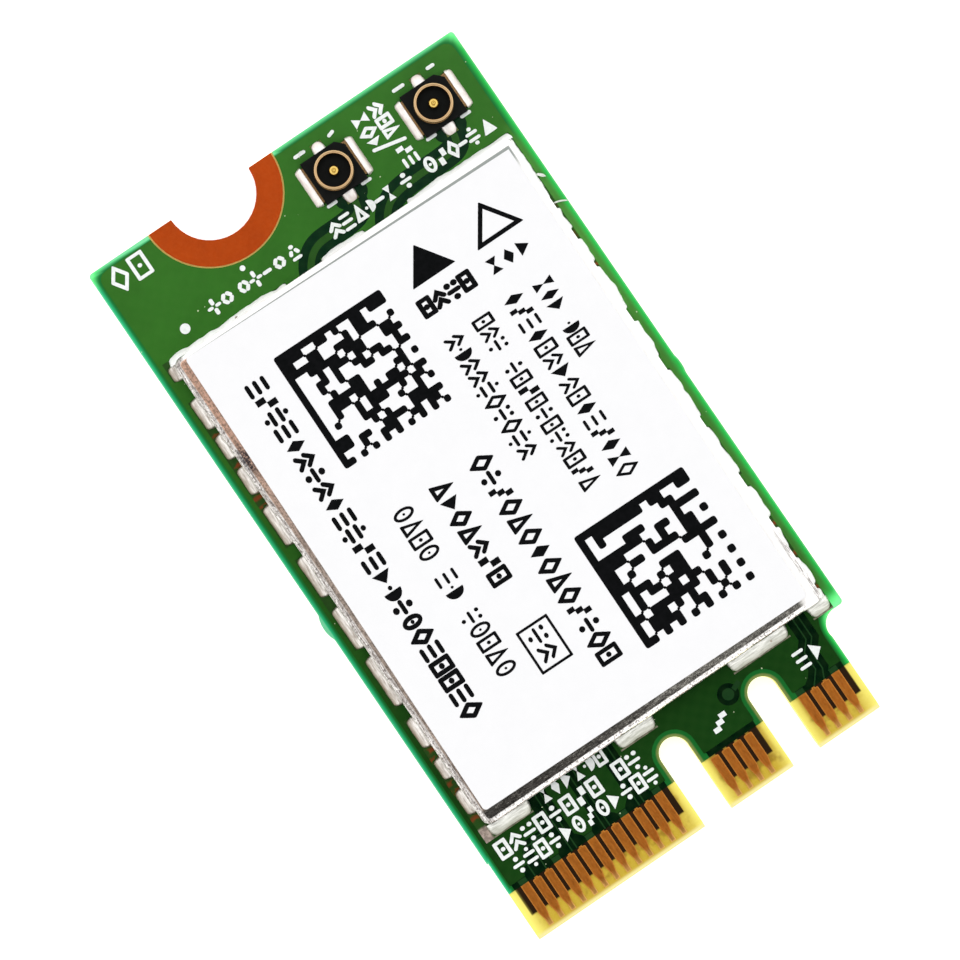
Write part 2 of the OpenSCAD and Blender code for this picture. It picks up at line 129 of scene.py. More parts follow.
# a mark is a list of (outline, hole or None) pairs in a box 0.6 wide and 1 tall
def markShapes(kind, stroke):
    def line(*points):
        return strokeOutline(points, stroke), None

    def dot(x, y, size=1.3):
        return ovalPoints((x, y), stroke * size / 2, steps=10), None

    def closed(*points):
        outer, inner = frameShape(points, stroke)
        return roundCorners(outer, stroke * 0.4, 2), inner

    shapes = {
        "target": [(ovalPoints((.3, .5), .3, .48), ovalPoints((.3, .5), .3 - stroke, .48 - stroke)),
                   dot(.3, .5, .9)],
        "diamond": [closed((.3, .06), (.56, .5), (.3, .94), (.04, .5))],
        "frame": [closed((.06, .08), (.54, .08), (.54, .92), (.06, .92)), dot(.3, .5)],
        "wedge": [closed((.07, .1), (.53, .1), (.3, .88))],
        "rungs": [line((.08, at), (.52, at)) for at in (.1, .5, .9)],
        "chevrons": [line((.06, at), (.3, at + .3), (.54, at)) for at in (.12, .55)],
        "glass": [([(.05, .05), (.55, .05), (.3, .52)], None), ([(.05, .97), (.3, .5), (.55, .97)], None)],
        "halfMoon": [(arcPoints((.24, .5), .42, -90, 90, 12), None), dot(.08, .5, 1)],
        "beads": [dot(.12, .82, 1.4), dot(.48, .82, 1.4), line((.06, .45), (.54, .45)), dot(.3, .1, 1.4)],
        "split": [dot(.3, .16, 1.5), line((.06, .5), (.54, .5)), dot(.3, .84, 1.5)],
        "tiles": [(boxPoints(.03, .05, .3, .5), None), (boxPoints(.3, .5, .57, .95), None)],
        "steps": [(boxPoints(.02, .04, .24, .36), None), (boxPoints(.19, .34, .41, .66), None),
                  (boxPoints(.36, .64, .58, .96), None)],
        "leaf": [([(.3, .03), (.54, .5), (.3, .97), (.06, .5)], None)],
        "pennant": [([(.06, .06), (.56, .5), (.06, .94)], None)],
        "gate": [line((.06, .3), (.54, .3)), line((.06, .7), (.54, .7)), dot(.3, .02, 1.2), dot(.3, .98, 1.2)],
        "brokenDiamond": [line((.1, .42), (.2, .24)), line((.4, .24), (.5, .42)),
                          line((.5, .6), (.4, .78)), line((.2, .78), (.1, .6))],
        "brokenCross": [line((.3, .04), (.3, .28)), line((.3, .72), (.3, .96)),
                        line((.02, .5), (.14, .5)), line((.46, .5), (.58, .5))],
        "brokenWedge": [dot(.3, .92), line((.16, .62), (.1, .46)), line((.44, .62), (.5, .46)),
                        line((.12, .12), (.48, .12))],
    }
    return shapes[kind]


markOrder = ["frame", "rungs", "diamond", "glass", "target", "chevrons", "tiles", "split", "leaf", "wedge",
             "halfMoon", "beads", "gate", "steps", "pennant", "frame", "chevrons", "diamond"]


def placeShapes(shapes, place):
    return [([place(*p) for p in outline], hole and [place(*p) for p in hole]) for outline, hole in shapes]


def boxMark(kind, corner, wide, tall, stroke, upright=True):
    # upright marks read along +X; the others read toward -Y with their heads toward +X
    def place(x, y):
        if upright:
            return corner[0] + x / 0.6 * wide, corner[1] + y * tall
        return corner[0] + y * tall, corner[1] - x / 0.6 * wide
    return placeShapes(markShapes(kind, stroke / tall), place)


def markRow(corner, length, tall, stroke, count, first=0, gaps=(), upright=True):
    pitch = length / count
    groups = []
    for i in range(count):
        if i not in gaps:
            kind = markOrder[(first + i * 5 + i * i // 3) % len(markOrder)]
            start = (corner[0] + pitch * i, corner[1]) if upright else (corner[0], corner[1] - pitch * i)
            groups.append(boxMark(kind, start, pitch * 0.84, tall, stroke, upright))
    return groups


# meshes from outlines
def mergeOutlines(outlines):
    coords, loops = [], []
    for outline in outlines:
        points = outline if signedArea(outline) > 0 else outline[::-1]
        loops.append(list(range(len(coords), len(coords) + len(points))))
        coords += [Vector(p) for p in points]
    points, _, faces, _, _, owners = delaunay_2d_cdt(coords, [], loops, 1, 1e-6)
    return points, faces, owners


def layerMesh(bm, points, faces, bottom):
    # faces: (corner ids, height, material index); walls close every step between heights
    made, sides = {}, {}

    def corner(i, height):
        key = (i, round(height, 5))
        if key not in made:
            made[key] = bm.verts.new((points[i][0] * mm, points[i][1] * mm, height * mm))
        return made[key]

    def face(corners, index):
        bm.faces.new(corners).material_index = index

    for ids, height, index in faces:
        face([corner(i, height) for i in ids], index)
        face([corner(i, bottom) for i in reversed(ids)], index)
        for a, b in zip(ids, ids[1:] + ids[:1]):
            sides.setdefault((min(a, b), max(a, b)), []).append((a, b, height, index))
    for entries in sides.values():
        a, b, height, index = max(entries, key=lambda e: abs(e[2] - bottom))
        other = min((e[2] for e in entries), key=lambda h: abs(h - bottom)) if len(entries) > 1 else bottom
        if abs(height - other) > 1e-6:
            face([corner(b, height), corner(a, height), corner(a, other), corner(b, other)], index)
    return made


def finishPiece(name, bm, materials, sharpAngle=None):
    bmesh.ops.recalc_face_normals(bm, faces=bm.faces)
    mesh = bpy.data.meshes.new(name)
    bm.to_mesh(mesh)
    bm.free()
    for material in materials:
        mesh.materials.append(material)
    if sharpAngle:
        mesh.shade_smooth()
        mesh.set_sharp_from_angle(angle=math.radians(sharpAngle))
    piece = bpy.data.objects.new(name, mesh)
    bpy.context.scene.collection.objects.link(piece)
    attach(piece, "root")
    return piece


def bridgeRings(bm, rings, indices):
    for low, high, index in zip(rings, rings[1:], indices):
        for k in range(len(low)):
            m = (k + 1) % len(low)
            bm.faces.new([low[k], low[m], high[m], high[k]]).material_index = index
    bm.faces.new(rings[0][::-1]).material_index = indices[0]
    bm.faces.new(rings[-1]).material_index = indices[0]


def inkPiece(name, groups, bottom, top, material):
    bm = bmesh.new()
    for shapes in groups:
        outlines, kinds = [], []
        for outline, hole in shapes:
            kinds.append((len(outlines), len(outlines) + 1 if hole else None))
            outlines += [outline, hole] if hole else [outline]
        points, faces, owners = mergeOutlines(outlines)
        inked = [f for f, own in zip(faces, owners)
                 if any(a in own and (h is None or h not in own) for a, h in kinds)]
        layerMesh(bm, points, [(list(f), top, 0) for f in inked], bottom)
    return finishPiece(name, bm, [material])


# shader helpers; a node goes into the tree of the sockets that feed it
def isSocket(value):
    return isinstance(value, bpy.types.NodeSocket)


def join(value, socket):
    if isSocket(value):
        socket.id_data.links.new(value, socket)
    else:
        socket.default_value = rgba(value) if socket.type == "RGBA" else value


def addNode(tree, kind, inputs=None, **settings):
    node = tree.nodes.new("ShaderNode" + kind)
    for key, value in settings.items():
        setattr(node, key, value)
    for key, value in (inputs or {}).items():
        join(value, node.inputs[key])
    return node


def rgba(color):
    return (*color[:3], 1.0)


def treeOf(*values):
    return next(value.id_data for value in values if isSocket(value))


def calc(operation, *values, clamp=False):
    return addNode(treeOf(*values), "Math", dict(enumerate(values)), operation=operation, use_clamp=clamp).outputs[0]


def times(value, *others):
    for other in others:
        value = calc("MULTIPLY", value, other)
    return value


def vectorCalc(operation, a, b, output=0):
    return addNode(treeOf(a, b), "VectorMath", {0: a, 1: b}, operation=operation).outputs[output]


def blend(factor, a, b, mode="MIX"):
    return addNode(treeOf(factor, a, b), "Mix", {0: factor, 6: a, 7: b}, data_type="RGBA", blend_type=mode).outputs[2]


def between(factor, a, b):
    return addNode(treeOf(factor), "Mix", {0: factor, 2: a, 3: b}, data_type="FLOAT").outputs[0]


def ramp(value, low, high, outLow=0.0, outHigh=1.0, soft=True):
    return addNode(treeOf(value), "MapRange", {0: value, 1: low, 2: high, 3: outLow, 4: outHigh},
                   interpolation_type="SMOOTHSTEP" if soft else "LINEAR").outputs[0]


def profile(value, stops):
    # a curve over one coordinate, given as (place, level) pairs in rising order
    low, high = stops[0][0], stops[-1][0]
    node = addNode(treeOf(value), "ValToRGB", {0: ramp(value, low, high, soft=False)})
    elements = node.color_ramp.elements
    for k, (at, level) in enumerate(stops):
        spot = (at - low) / (high - low)
        element = elements[k] if k < 1 else (elements[-1] if k == len(stops) - 1 else elements.new(spot))
        element.position, element.color = spot, (level, level, level, 1)
    return node.outputs[0]


def scaled(vector, amount):
    return addNode(vector.id_data, "VectorMath", {0: vector, "Scale": amount}, operation="SCALE").outputs[0]


def millimetres(tree):
    return scaled(addNode(tree, "TexCoord").outputs["Object"], 1 / mm)


def boardAxes(tree):
    return addNode(tree, "SeparateXYZ", {0: millimetres(tree)}).outputs[:3]


def cloud(vector, scale, detail, roughness=0.5, output=0):
    return addNode(vector.id_data, "TexNoise", {"Vector": vector, "Scale": scale, "Detail": detail,
                                                "Roughness": roughness}).outputs[output]


def makeGroup(name, inputs, outputs):
    # inputs maps each socket's name to its first value
    group = bpy.data.node_groups.new(name, "ShaderNodeTree")
    for side, labels in (("INPUT", inputs), ("OUTPUT", outputs)):
        for label in labels:
            value = inputs[label] if side == "INPUT" else None
            kind = "Color" if "Color" in label else "Vector" if isinstance(value, tuple) else "Float"
            socket = group.interface.new_socket(name=label, in_out=side, socket_type="NodeSocket" + kind)
            if value is not None:
                socket.default_value = value
    return group, group.nodes.new("NodeGroupInput").outputs, group.nodes.new("NodeGroupOutput").inputs


def makeCloudyTone():
    group, start, end = makeGroup("cloudyTone", {"Color A": None, "Color B": None, "Scale": 1.0,
                                                 "Stretch": (1, 1, 1), "Contrast": 0.5}, ["Color", "Value"])
    vector = vectorCalc("MULTIPLY", millimetres(group), start["Stretch"])
    away = calc("SUBTRACT", cloud(vector, start["Scale"], 5.0, 0.6), 0.5)
    value = calc("MULTIPLY_ADD", away, start["Contrast"], 0.5, clamp=True)
    join(blend(value, start["Color A"], start["Color B"]), end["Color"])
    join(value, end["Value"])
    return group


def makeFineGrain():
    group, start, end = makeGroup("fineGrain", {"Scale": 8.0, "Stretch": (1, 1, 1), "Low": 0.0, "High": 1.0},
                                  ["Value", "Height"])
    vector = vectorCalc("MULTIPLY", millimetres(group), start["Stretch"])
    grain = cloud(vector, start["Scale"], 4.0, 0.65)
    join(ramp(grain, 0.25, 0.75, start["Low"], start["High"], soft=False), end["Value"])
    join(grain, end["Height"])
    return group


def makeDustSpecks():
    group, start, end = makeGroup("dustSpecks", {"Color": None, "Speck Color": None, "Scale": 1.5, "Radius": 0.05,
                                                 "Share": 0.2, "Strength": 0.8}, ["Color", "Mask"])
    vector = millimetres(group)
    bent = scaled(cloud(vector, 9.0, 1.0, output=1), 0.05)
    moved = vectorCalc("ADD", vector, bent)
    cells = addNode(group, "TexVoronoi", {"Vector": moved, "Scale": start["Scale"]}).outputs
    chance, size, _ = addNode(group, "SeparateColor", {0: cells["Color"]}).outputs
    near = calc("LESS_THAN", cells["Distance"], times(start["Radius"], size))
    mask = times(near, calc("LESS_THAN", chance, start["Share"]), start["Strength"])
    join(blend(mask, start["Color"], start["Speck Color"]), end["Color"])
    join(mask, end["Mask"])
    return group


def makeGlassCloth():
    group, start, end = makeGroup("glassCloth", {"Pitch": 0.45}, ["Value", "Height"])
    x, y, _ = boardAxes(group)
    turn = calc("DIVIDE", 2 * math.pi, start["Pitch"])
    crossed = times(calc("SINE", times(x, turn)), calc("SINE", times(y, turn)))
    join(ramp(crossed, -1.0, 1.0, soft=False), end["Value"])
    join(crossed, end["Height"])
    return group


toneGroup, grainGroup, speckGroup, clothGroup = makeCloudyTone(), makeFineGrain(), makeDustSpecks(), makeGlassCloth()


def cloudyTone(tree, a, b, scale, contrast, stretch=(1, 1, 1)):
    inputs = {"Color A": a, "Color B": b, "Scale": scale, "Contrast": contrast, "Stretch": stretch}
    return addNode(tree, "Group", inputs, node_tree=toneGroup).outputs["Color"]


def fineGrain(tree, scale, low=0.0, high=1.0, stretch=(1, 1, 1)):
    inputs = {"Scale": scale, "Low": low, "High": high, "Stretch": stretch}
    return addNode(tree, "Group", inputs, node_tree=grainGroup).outputs


def dustSpecks(tree, color, speck, scale, radius, share, strength):
    inputs = {"Color": color, "Speck Color": speck, "Scale": scale, "Radius": radius, "Share": share,
              "Strength": strength}
    return addNode(tree, "Group", inputs, node_tree=speckGroup).outputs["Color"]


def glassCloth(tree, pitch):
    return addNode(tree, "Group", {"Pitch": pitch}, node_tree=clothGroup).outputs


def newMaterial(name, **constants):
    material = bpy.data.materials.new(name)
    material.use_nodes = True
    for label, value in constants.items():
        join(value, material.node_tree.nodes["Principled BSDF"].inputs[label.replace("_", " ")])
    return material, material.node_tree


def feedShader(material, color, rough, height, strength, depth):
    tree = material.node_tree
    bump = addNode(tree, "Bump", {"Height": height, "Strength": strength, "Distance": depth * mm})
    for label, value in (("Base Color", color), ("Roughness", rough), ("Normal", bump.outputs[0])):
        if value is not None:
            join(value, tree.nodes["Principled BSDF"].inputs[label])
    return material


# camera and studio
view = {"place": (-3.50, -23.10, 168.76), "nudge": (-0.0272, -0.0171), "roll": 0.0012,
        "looks": (0.0349, 0.0505, -0.9981), "up": (0.5622, 0.8248, 0.0614), "lens": 168.81, "sensor": 36.0}


def makeCamera(settings):
    data = bpy.data.cameras.new("camera")
    data.sensor_width, data.lens, data.clip_start = settings["sensor"], settings["lens"], 0.01
    camera = bpy.data.objects.new("camera", data)
    bpy.context.scene.collection.objects.link(camera)
    back = -Vector(settings["looks"]).normalized()
    right = Vector(settings["up"]).cross(back).normalized()
    right = (right + back.cross(right) * settings["roll"]).normalized()
    up = back.cross(right)
    camera.matrix_world = Matrix((right, up, back)).transposed().to_4x4()
    nudge = settings["nudge"]
    camera.location = (Vector(settings["place"]) + right * nudge[0] + up * nudge[1]) * mm
    bpy.context.scene.camera = camera


studio = {"skyStrength": 1.36, "darkPatch": (-0.107, -0.158, 0.982), "darkInner": 0.968, "darkOuter": 0.905,
          "darkLevel": 0.02, "floorColor": (0.93, 0.93, 0.93), "floorGlow": 0.55, "floorHalf": 400.0,
          "floorLevel": -0.02}


def makeStudio(settings):
    world = bpy.data.worlds.new("softbox sky")
    bpy.context.scene.world = world
    world.use_nodes = True
    sky = world.node_tree.nodes["Background"].inputs
    heading = addNode(world.node_tree, "TexCoord").outputs["Generated"]
    toPatch = vectorCalc("DOT_PRODUCT", heading, settings["darkPatch"], "Value")
    join(ramp(toPatch, settings["darkOuter"], settings["darkInner"], settings["skyStrength"], settings["darkLevel"]),
         sky["Strength"])
    join((1, 1, 1), sky["Color"])
    half, level = settings["floorHalf"] * mm, settings["floorLevel"] * mm
    bm = bmesh.new()
    bm.faces.new([bm.verts.new((x, y, level)) for x, y in boxPoints(-half, -half, half, half)])
    mesh = bpy.data.meshes.new("floor")
    bm.to_mesh(mesh)
    bm.free()
    floor = bpy.data.objects.new("floor", mesh)
    bpy.context.scene.collection.objects.link(floor)
    mesh.materials.append(newMaterial("pale table", Roughness=0.8, Base_Color=settings["floorColor"],
                                      Emission_Color=(1, 1, 1), Emission_Strength=settings["floorGlow"])[0])


makeCamera(view)
makeStudio(studio)
bpy.context.scene.view_settings.view_transform = "Standard"
bpy.context.scene.view_settings.look = "None"
print("camera and studio are set")

# green coat
coatLook = {
    "overCopper": {"near": (0.036, 0.165, 0.018), "far": (0.009, 0.052, 0.007), "drift": 0.25},
    "channel": {"near": (0.0005, 0.023, 0.007), "far": (0.0003, 0.010, 0.003), "drift": 0.2},
    "track": {"near": (0.024, 0.095, 0.014), "far": (0.012, 0.050, 0.014), "drift": 0.2},
    "rim": {"near": (0.012, 0.18, 0.034), "far": (0.011, 0.155, 0.026), "drift": 0.15},
}
coatFinish = {
    "roughness": (0.09, 0.16), "grainScale": 5.0, "bump": 0.10, "weavePitch": 0.62,
    "rimTop": (0.12, 0.65, 0.25), "rimLeft": (0.026, 0.50, 0.21), "rimSide": (0.022, 0.50, 0.075),
    "rimCorner": (0.14, 0.90, 0.24), "rimEdge": (0.36, 0.80, 0.52), "keyGlow": (0.07, 0.18, 0.04),
    "sideTone": (0.085, 0.30, 0.050), "threadTone": (0.10, 0.22, 0.05), "speckColor": (0.75, 0.85, 0.55),
    "specks": {"scale": 2.7, "radius": 0.08, "share": 0.46, "strength": 0.7},
}
boardMiddle = 2.75  # X half way between the board's long edges


def rimGlow(tree, x, y, color):
    # light that leaves through the board's edge, strongest at the mounting end
    lit = addNode(tree, "Attribute", attribute_name="glow").outputs["Fac"]
    byKeys = times(ramp(y, -26.0, -26.4), times(ramp(x, 0.9, 1.6), ramp(x, 9.0, 8.2)))
    tint = blend(ramp(y, -0.5, -0.25), coatFinish["rimSide"], coatFinish["rimTop"])
    tint = blend(ramp(x, -5.0, -5.3), tint, coatFinish["rimLeft"])
    corner = times(ramp(y, -0.9, -0.1), ramp(calc("ABSOLUTE", calc("SUBTRACT", x, boardMiddle)), 7.5, 8.2))
    foot = times(ramp(y, -25.3, -25.7), ramp(x, 9.8, 10.3))
    tint = blend(calc("MAXIMUM", corner, foot), tint, coatFinish["rimCorner"])
    outermost = times(ramp(lit, 0.72, 1.0), ramp(x, -5.58, -5.0, 0.45, 0.36))
    tint = blend(outermost, tint, coatFinish["rimEdge"])
    tint = blend(byKeys, tint, coatFinish["keyGlow"])
    rise = between(calc("MAXIMUM", byKeys, times(ramp(x, -5.0, -5.2), 0.12)), 0.05, 0.75)
    return blend(ramp(lit, rise, 0.9), color, tint)


def coatMaterial(name, look, glowing=False):
    material, tree = newMaterial(name, IOR=1.33, Specular_IOR_Level=0.35)
    x, y, _ = boardAxes(tree)
    color = blend(ramp(y, -5.0, -26.5), look["near"], look["far"])
    sideLit = times(profile(y, [(-26, .6), (-22, .6), (-15, .6), (-9, 1), (-5, .7), (-4, 0)]), ramp(x, 10.3, 10.6))
    color = blend(sideLit, color, coatFinish["sideTone"])
    color = cloudyTone(tree, color, blend(0.35, color, (0.0, 0.0, 0.0)), 0.9, look["drift"] * 4)
    thread, threadHeight = glassCloth(tree, coatFinish["weavePitch"])
    color = blend(times(thread, 0.03), color, coatFinish["threadTone"])
    if glowing:
        color = rimGlow(tree, x, y, color)
    color = dustSpecks(tree, color, coatFinish["speckColor"], **coatFinish["specks"])
    rough, grainHeight = fineGrain(tree, coatFinish["grainScale"], *coatFinish["roughness"])
    height = calc("MULTIPLY_ADD", threadHeight, 0.12, grainHeight)
    return feedShader(material, color, rough, height, coatFinish["bump"], 0.012)


coatZones = {"copper": coatMaterial("green coat over copper", coatLook["overCopper"]),
             "channel": coatMaterial("green coat in channels", coatLook["channel"]),
             "track": coatMaterial("green coat over tracks", coatLook["track"]),
             "rim": coatMaterial("green coat at the rim", coatLook["rim"], glowing=True)}

keyPlaces = (2.625, 6.625)
copperInset = {"left": -5.25, "right": 10.70, "top": -0.22, "bottom": -27.76, "keyRadius": 0.87, "keyCenter": -27.1}


def copperOutline(inset):
    bottom, r = inset["bottom"], inset["keyRadius"]
    points = [(inset["left"], inset["top"], 0.45), (inset["left"], bottom, 0.08)]
    for x in keyPlaces:
        points += [(x - r, bottom, 0.08)]
        points += [(px, py, 0) for px, py in arcPoints((x, inset["keyCenter"]), r, 180, 0, 14)]
        points += [(x + r, bottom, 0.08)]
    points += [(9.68, bottom, 0.08), (9.68, -26.45, 0.4), (9.86, -25.95, 0.4), (10.22, -25.5, 0.4), (10.5, -25.2, 0.4),
               (inset["right"], -24.7, 0.4), (inset["right"], inset["top"], 0.45)]
    return roundCorners(points, 0.1)


coatEnd = -27.99  # where the coat stops and the bare card edge starts


def straightTrack(x):
    return [(x, -25.2), (x, coatEnd)]


def flare(a, b, c, d, neck=-27.45, shoulder=-27.72):
    # where a pair of tracks spreads to its two contacts
    return [(a, neck), (b, shoulder), (b, coatEnd), (c, coatEnd), (c, shoulder), (d, neck)]


# paths of the aerial feeds and of the signal tracks above the contacts
feedPaths = [
    [(4.37, -2.85), (4.37, -3.30), (4.25, -3.72), (3.7, -3.83), (2.9, -3.84), (2.3, -3.86), (1.85, -4.1),
     (1.5, -4.55), (1.4, -5.0)],
    [(8.86, -2.85), (8.86, -3.30), (8.7, -3.74), (8.1, -3.83), (7.0, -3.83), (6.2, -3.85), (5.5, -4.0),
     (5.05, -4.4), (4.8, -4.9)],
]
trackPairs = [
    {"band": [(-2.50, -25.2), (-2.50, -27.5), (-2.50, -27.80)], "width": 0.66,
     "tracks": [straightTrack(-2.59), straightTrack(-2.38)], "spread": flare(-2.83, -3.06, -1.93, -2.17)},
    {"band": [(-1.01, -25.2), (-1.01, -27.80)], "width": 0.60,
     "tracks": [straightTrack(-1.11), straightTrack(-0.90)], "spread": flare(-1.31, -1.56, -0.44, -0.71)},
    {"band": [(0.54, -25.2), (0.54, -27.80)], "width": 0.62,
     "tracks": [straightTrack(0.43), straightTrack(0.65)], "spread": flare(0.23, -0.06, 1.06, 0.85)},
    {"band": [(-4.0, -27.8), (-4.0, -27.05), (-3.75, -26.82), (-3.05, -26.82), (-2.78, -26.5), (-2.78, -25.2)],
     "width": 0.34, "spread": flare(-4.44, -4.56, -3.44, -3.58, -27.42, -27.70),
     "tracks": [[(-4.25, coatEnd), (-4.25, -27.15), (-4.0, -26.87), (-3.1, -26.87)],
                [(-3.75, coatEnd), (-3.75, -27.0), (-3.62, -26.77), (-3.1, -26.77)]]},
    {"band": [(9.165, -25.1), (9.165, -26.38), (8.83, -26.78), (8.83, -27.5), (8.60, -27.80)], "width": 0.74,
     "spread": [(8.35, -27.55), (8.06, -27.74), (8.06, coatEnd), (9.07, coatEnd), (9.07, -27.55)],
     "tracks": [[(9.05, -25.1), (9.05, -26.36), (8.715, -26.75), (8.715, -27.48), (8.3, coatEnd)],
                [(9.28, -25.1), (9.28, -26.40), (8.95, -26.80), (8.95, -27.58), (8.76, coatEnd)]]},
]
trackPlan = {"feed": 0.27, "feedGap": 0.95, "signal": 0.055, "lead": 0.2, "flareRound": 0.08,
             "feedStartY": -3.02, "feedStartHalf": (0.68, 0.50), "lap": 0.02}
darkEnds = [(-5.19, 1.69), (3.58, 5.70), (7.58, 9.66)]  # the far side's contacts stop the light here
wideTracks = {"contacts": [1, 7, 33, 39, 45, 51, 57], "firstAt": 9.25, "pitch": 0.25, "half": 0.17}
ringVia = {"center": (5.49, -26.42), "outer": 0.42, "inner": 0.23, "lead": [(5.75, -26.38), (6.1, -26.25)]}
reliefHeight, coatDepth, landOpening = 0.009, 0.04, 2.81


def boardFaces(node, level):
    mesh = nodes[node].data
    faces = []
    for polygon in mesh.polygons:
        corners = [mesh.vertices[i].co / mm for i in polygon.vertices]
        if abs(polygon.normal.z) > 0.9 and all(abs(c.z - level) < 1e-3 for c in corners):
            faces.append([(c.x, c.y) for c in corners])
    return faces


def makeCoat(name, node, level, inward, features):
    layers = [("board", outline) for outline in boardFaces(node, level)]
    layers += [("opening", ovalPoints((0, 0), landOpening, steps=160))] + features
    points, faces, owners = mergeOutlines([outline for _, outline in layers])
    zones, layered = list(coatZones), []
    for face, own in zip(faces, owners):
        found = {layers[i][0] for i in own}
        if "board" in found and "opening" not in found:
            zone = next((kind for kind in ("track", "channel", "copper") if kind in found), "rim")
            raised = zone in ("copper", "track")
            height = level + reliefHeight if raised == (inward < 0) else level
            layered.append((list(face), height, zones.index(zone)))
    inner = {i for face, _, index in layered if zones[index] != "rim" for i in face}
    bm = bmesh.new()
    glow = bm.verts.layers.float.new("glow")
    made = layerMesh(bm, points, layered, level + inward * coatDepth)
    for (i, _), vert in made.items():
        vert[glow] = 0.0 if i in inner else 1.0
    piece = finishPiece(name, bm, coatZones.values())
    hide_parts(node)


def listFeatures():
    features = [("copper", copperOutline(copperInset))]
    for path in feedPaths:
        features.append(("channel", strokeOutline(smoothPath(path), trackPlan["feedGap"], 0)))
        features.append(("channel", ovalPoints((path[0][0], trackPlan["feedStartY"]), *trackPlan["feedStartHalf"])))
        features.append(("track", strokeOutline(smoothPath(path), trackPlan["feed"], 0)))
    for pair in trackPairs:
        features.append(("channel", strokeOutline(pair["band"], pair["width"], 0)))
        features.append(("channel", roundCorners(pair["spread"], trackPlan["flareRound"])))
        features += [("track", strokeOutline(path, trackPlan["signal"], 0)) for path in pair["tracks"]]
    bottom, half = copperInset["bottom"], wideTracks["half"]
    features += [("channel", boxPoints(x0, coatEnd, x1, bottom + trackPlan["lap"])) for x0, x1 in darkEnds]
    for number in wideTracks["contacts"]:
        x = wideTracks["firstAt"] - (number - 1) * wideTracks["pitch"]
        features.append(("track", boxPoints(x - half, coatEnd, x + half, bottom)))
    features.append(("channel", ovalPoints(ringVia["center"], ringVia["outer"], steps=24)))
    features.append(("track", ovalPoints(ringVia["center"], ringVia["inner"])))
    features.append(("track", strokeOutline(ringVia["lead"], trackPlan["lead"], 0)))
    return features


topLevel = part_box("solder_mask_top")[1].z / mm
makeCoat("green_coat_top", "solder_mask_top", topLevel, -1, listFeatures())
makeCoat("green_coat_bottom", "solder_mask_bottom", 0.0, 1, [("copper", copperOutline(copperInset))])
print("green coat laid, with the copper's relief under it")


# bare laminate, contacts, land and pads: the CAD's own shapes with better finishes
def dress(node, material):
    piece = nodes[node]
    if not piece.material_slots:
        piece.data.materials.append(material)
    for holder in piece.material_slots:
        holder.material = material


laminateLook = {
    # between is painted shade, tip a painted highlight and landRing painted light in the gap round the land
    "middle": (0.52, 0.35, 0.018), "edge": (0.97, 0.89, 0.19), "between": (0.40, 0.24, 0.018),
    "tip": (0.86, 0.78, 0.34), "keyRim": (0.15, 0.24, 0.06), "landRing": (0.80, 0.56, 0.16),
    "stain": (0.20, 0.09, 0.008), "bars": (0.018, 0.008, 0.002), "barHalf": 0.178, "barPitch": 0.5,
    "barEnd": (-29.14, -29.06),
    # (X, share of the pale edge tone, painted light glowing through the cut edges) and (X, 1 where the far side's
    # contacts cast painted shadow bars)
    "paintedLightRun": [(-5.6, 1), (-5.35, 1), (-4.9, .25), (-4.5, .05), (1.2, .05), (1.7, .35), (2.02, 1), (3.2, 1),
                (3.5, .4), (3.8, .05), (5.5, .05), (5.8, .4), (6.05, 1), (7.2, 1), (7.5, .4), (7.8, .1),
                (9.3, .1), (9.6, .5), (9.95, 1), (11.1, 1)],
    "barRun": [(-5.6, 0), (-5.30, 0), (-5.12, 1), (1.68, 1), (1.72, 0), (3.78, 0), (3.82, 1), (5.68, 1),
               (5.72, 0), (7.78, 0), (7.82, 1), (9.68, 1), (9.72, 0), (11, 0)],
}


def flatPoint(x, y):
    return addNode(x.id_data, "CombineXYZ", {0: x, 1: y}).outputs[0]


def laminateMaterial(look):
    material, tree = newMaterial("bare glass cloth board", IOR=1.33, Roughness=0.35, Specular_IOR_Level=0.2)
    x, y, z = boardAxes(tree)
    # painted light: the pale edge tone glows near the cut edges of each tongue
    edges = profile(x, look["paintedLightRun"])
    color = blend(edges, look["middle"], look["edge"])
    # painted shade between the contacts, toward their tails
    color = blend(times(ramp(y, -29.35, -28.9), ramp(edges, 0.6, 0.1)), color, look["between"])
    # painted highlight on the bevelled tip
    color = blend(ramp(y, -29.78, -29.93), color, look["tip"])
    onTop = ramp(z, 0.70, 0.75)
    color = blend(times(ramp(y, coatEnd, -27.96), onTop), color, look["keyRim"])
    # painted light in the narrow gap around the mounting land
    reach = addNode(tree, "VectorMath", {0: flatPoint(x, y)}, operation="LENGTH").outputs["Value"]
    color = blend(times(ramp(reach, 2.70, 2.74), ramp(reach, 2.86, 2.82)), color, look["landRing"])
    color = cloudyTone(tree, color, blend(0.16, color, (0.25, 0.12, 0.01)), 1.3, 1.2)
    grain, grainHeight = fineGrain(tree, 14.0)
    color = blend(times(grain, 0.10), color, (0.95, 0.80, 0.3))
    byTails = times(ramp(y, -29.75, -29.45), ramp(edges, 0.7, 0.2), ramp(y, -27.6, -28.1))
    blots = ramp(cloud(millimetres(tree), 2.2, 2.0, 0.6), 0.48, 0.74)
    color = blend(times(blots, byTails, 0.6), color, look["stain"])
    # painted shadow of the far side's contacts, seen as dark bars through the board
    stripe = ramp(calc("PINGPONG", x, look["barPitch"] / 2), look["barHalf"] + 0.02, look["barHalf"] - 0.02)
    bars = times(stripe, profile(x, look["barRun"]), ramp(y, *look["barEnd"]), onTop, ramp(y, -27.92, -27.97))
    color = blend(bars, color, look["bars"])
    height = calc("MULTIPLY_ADD", glassCloth(tree, 0.5)["Height"], 0.2, grainHeight)
    return feedShader(material, color, None, height, 0.35, 0.01)


dress("board_laminate", laminateMaterial(laminateLook))

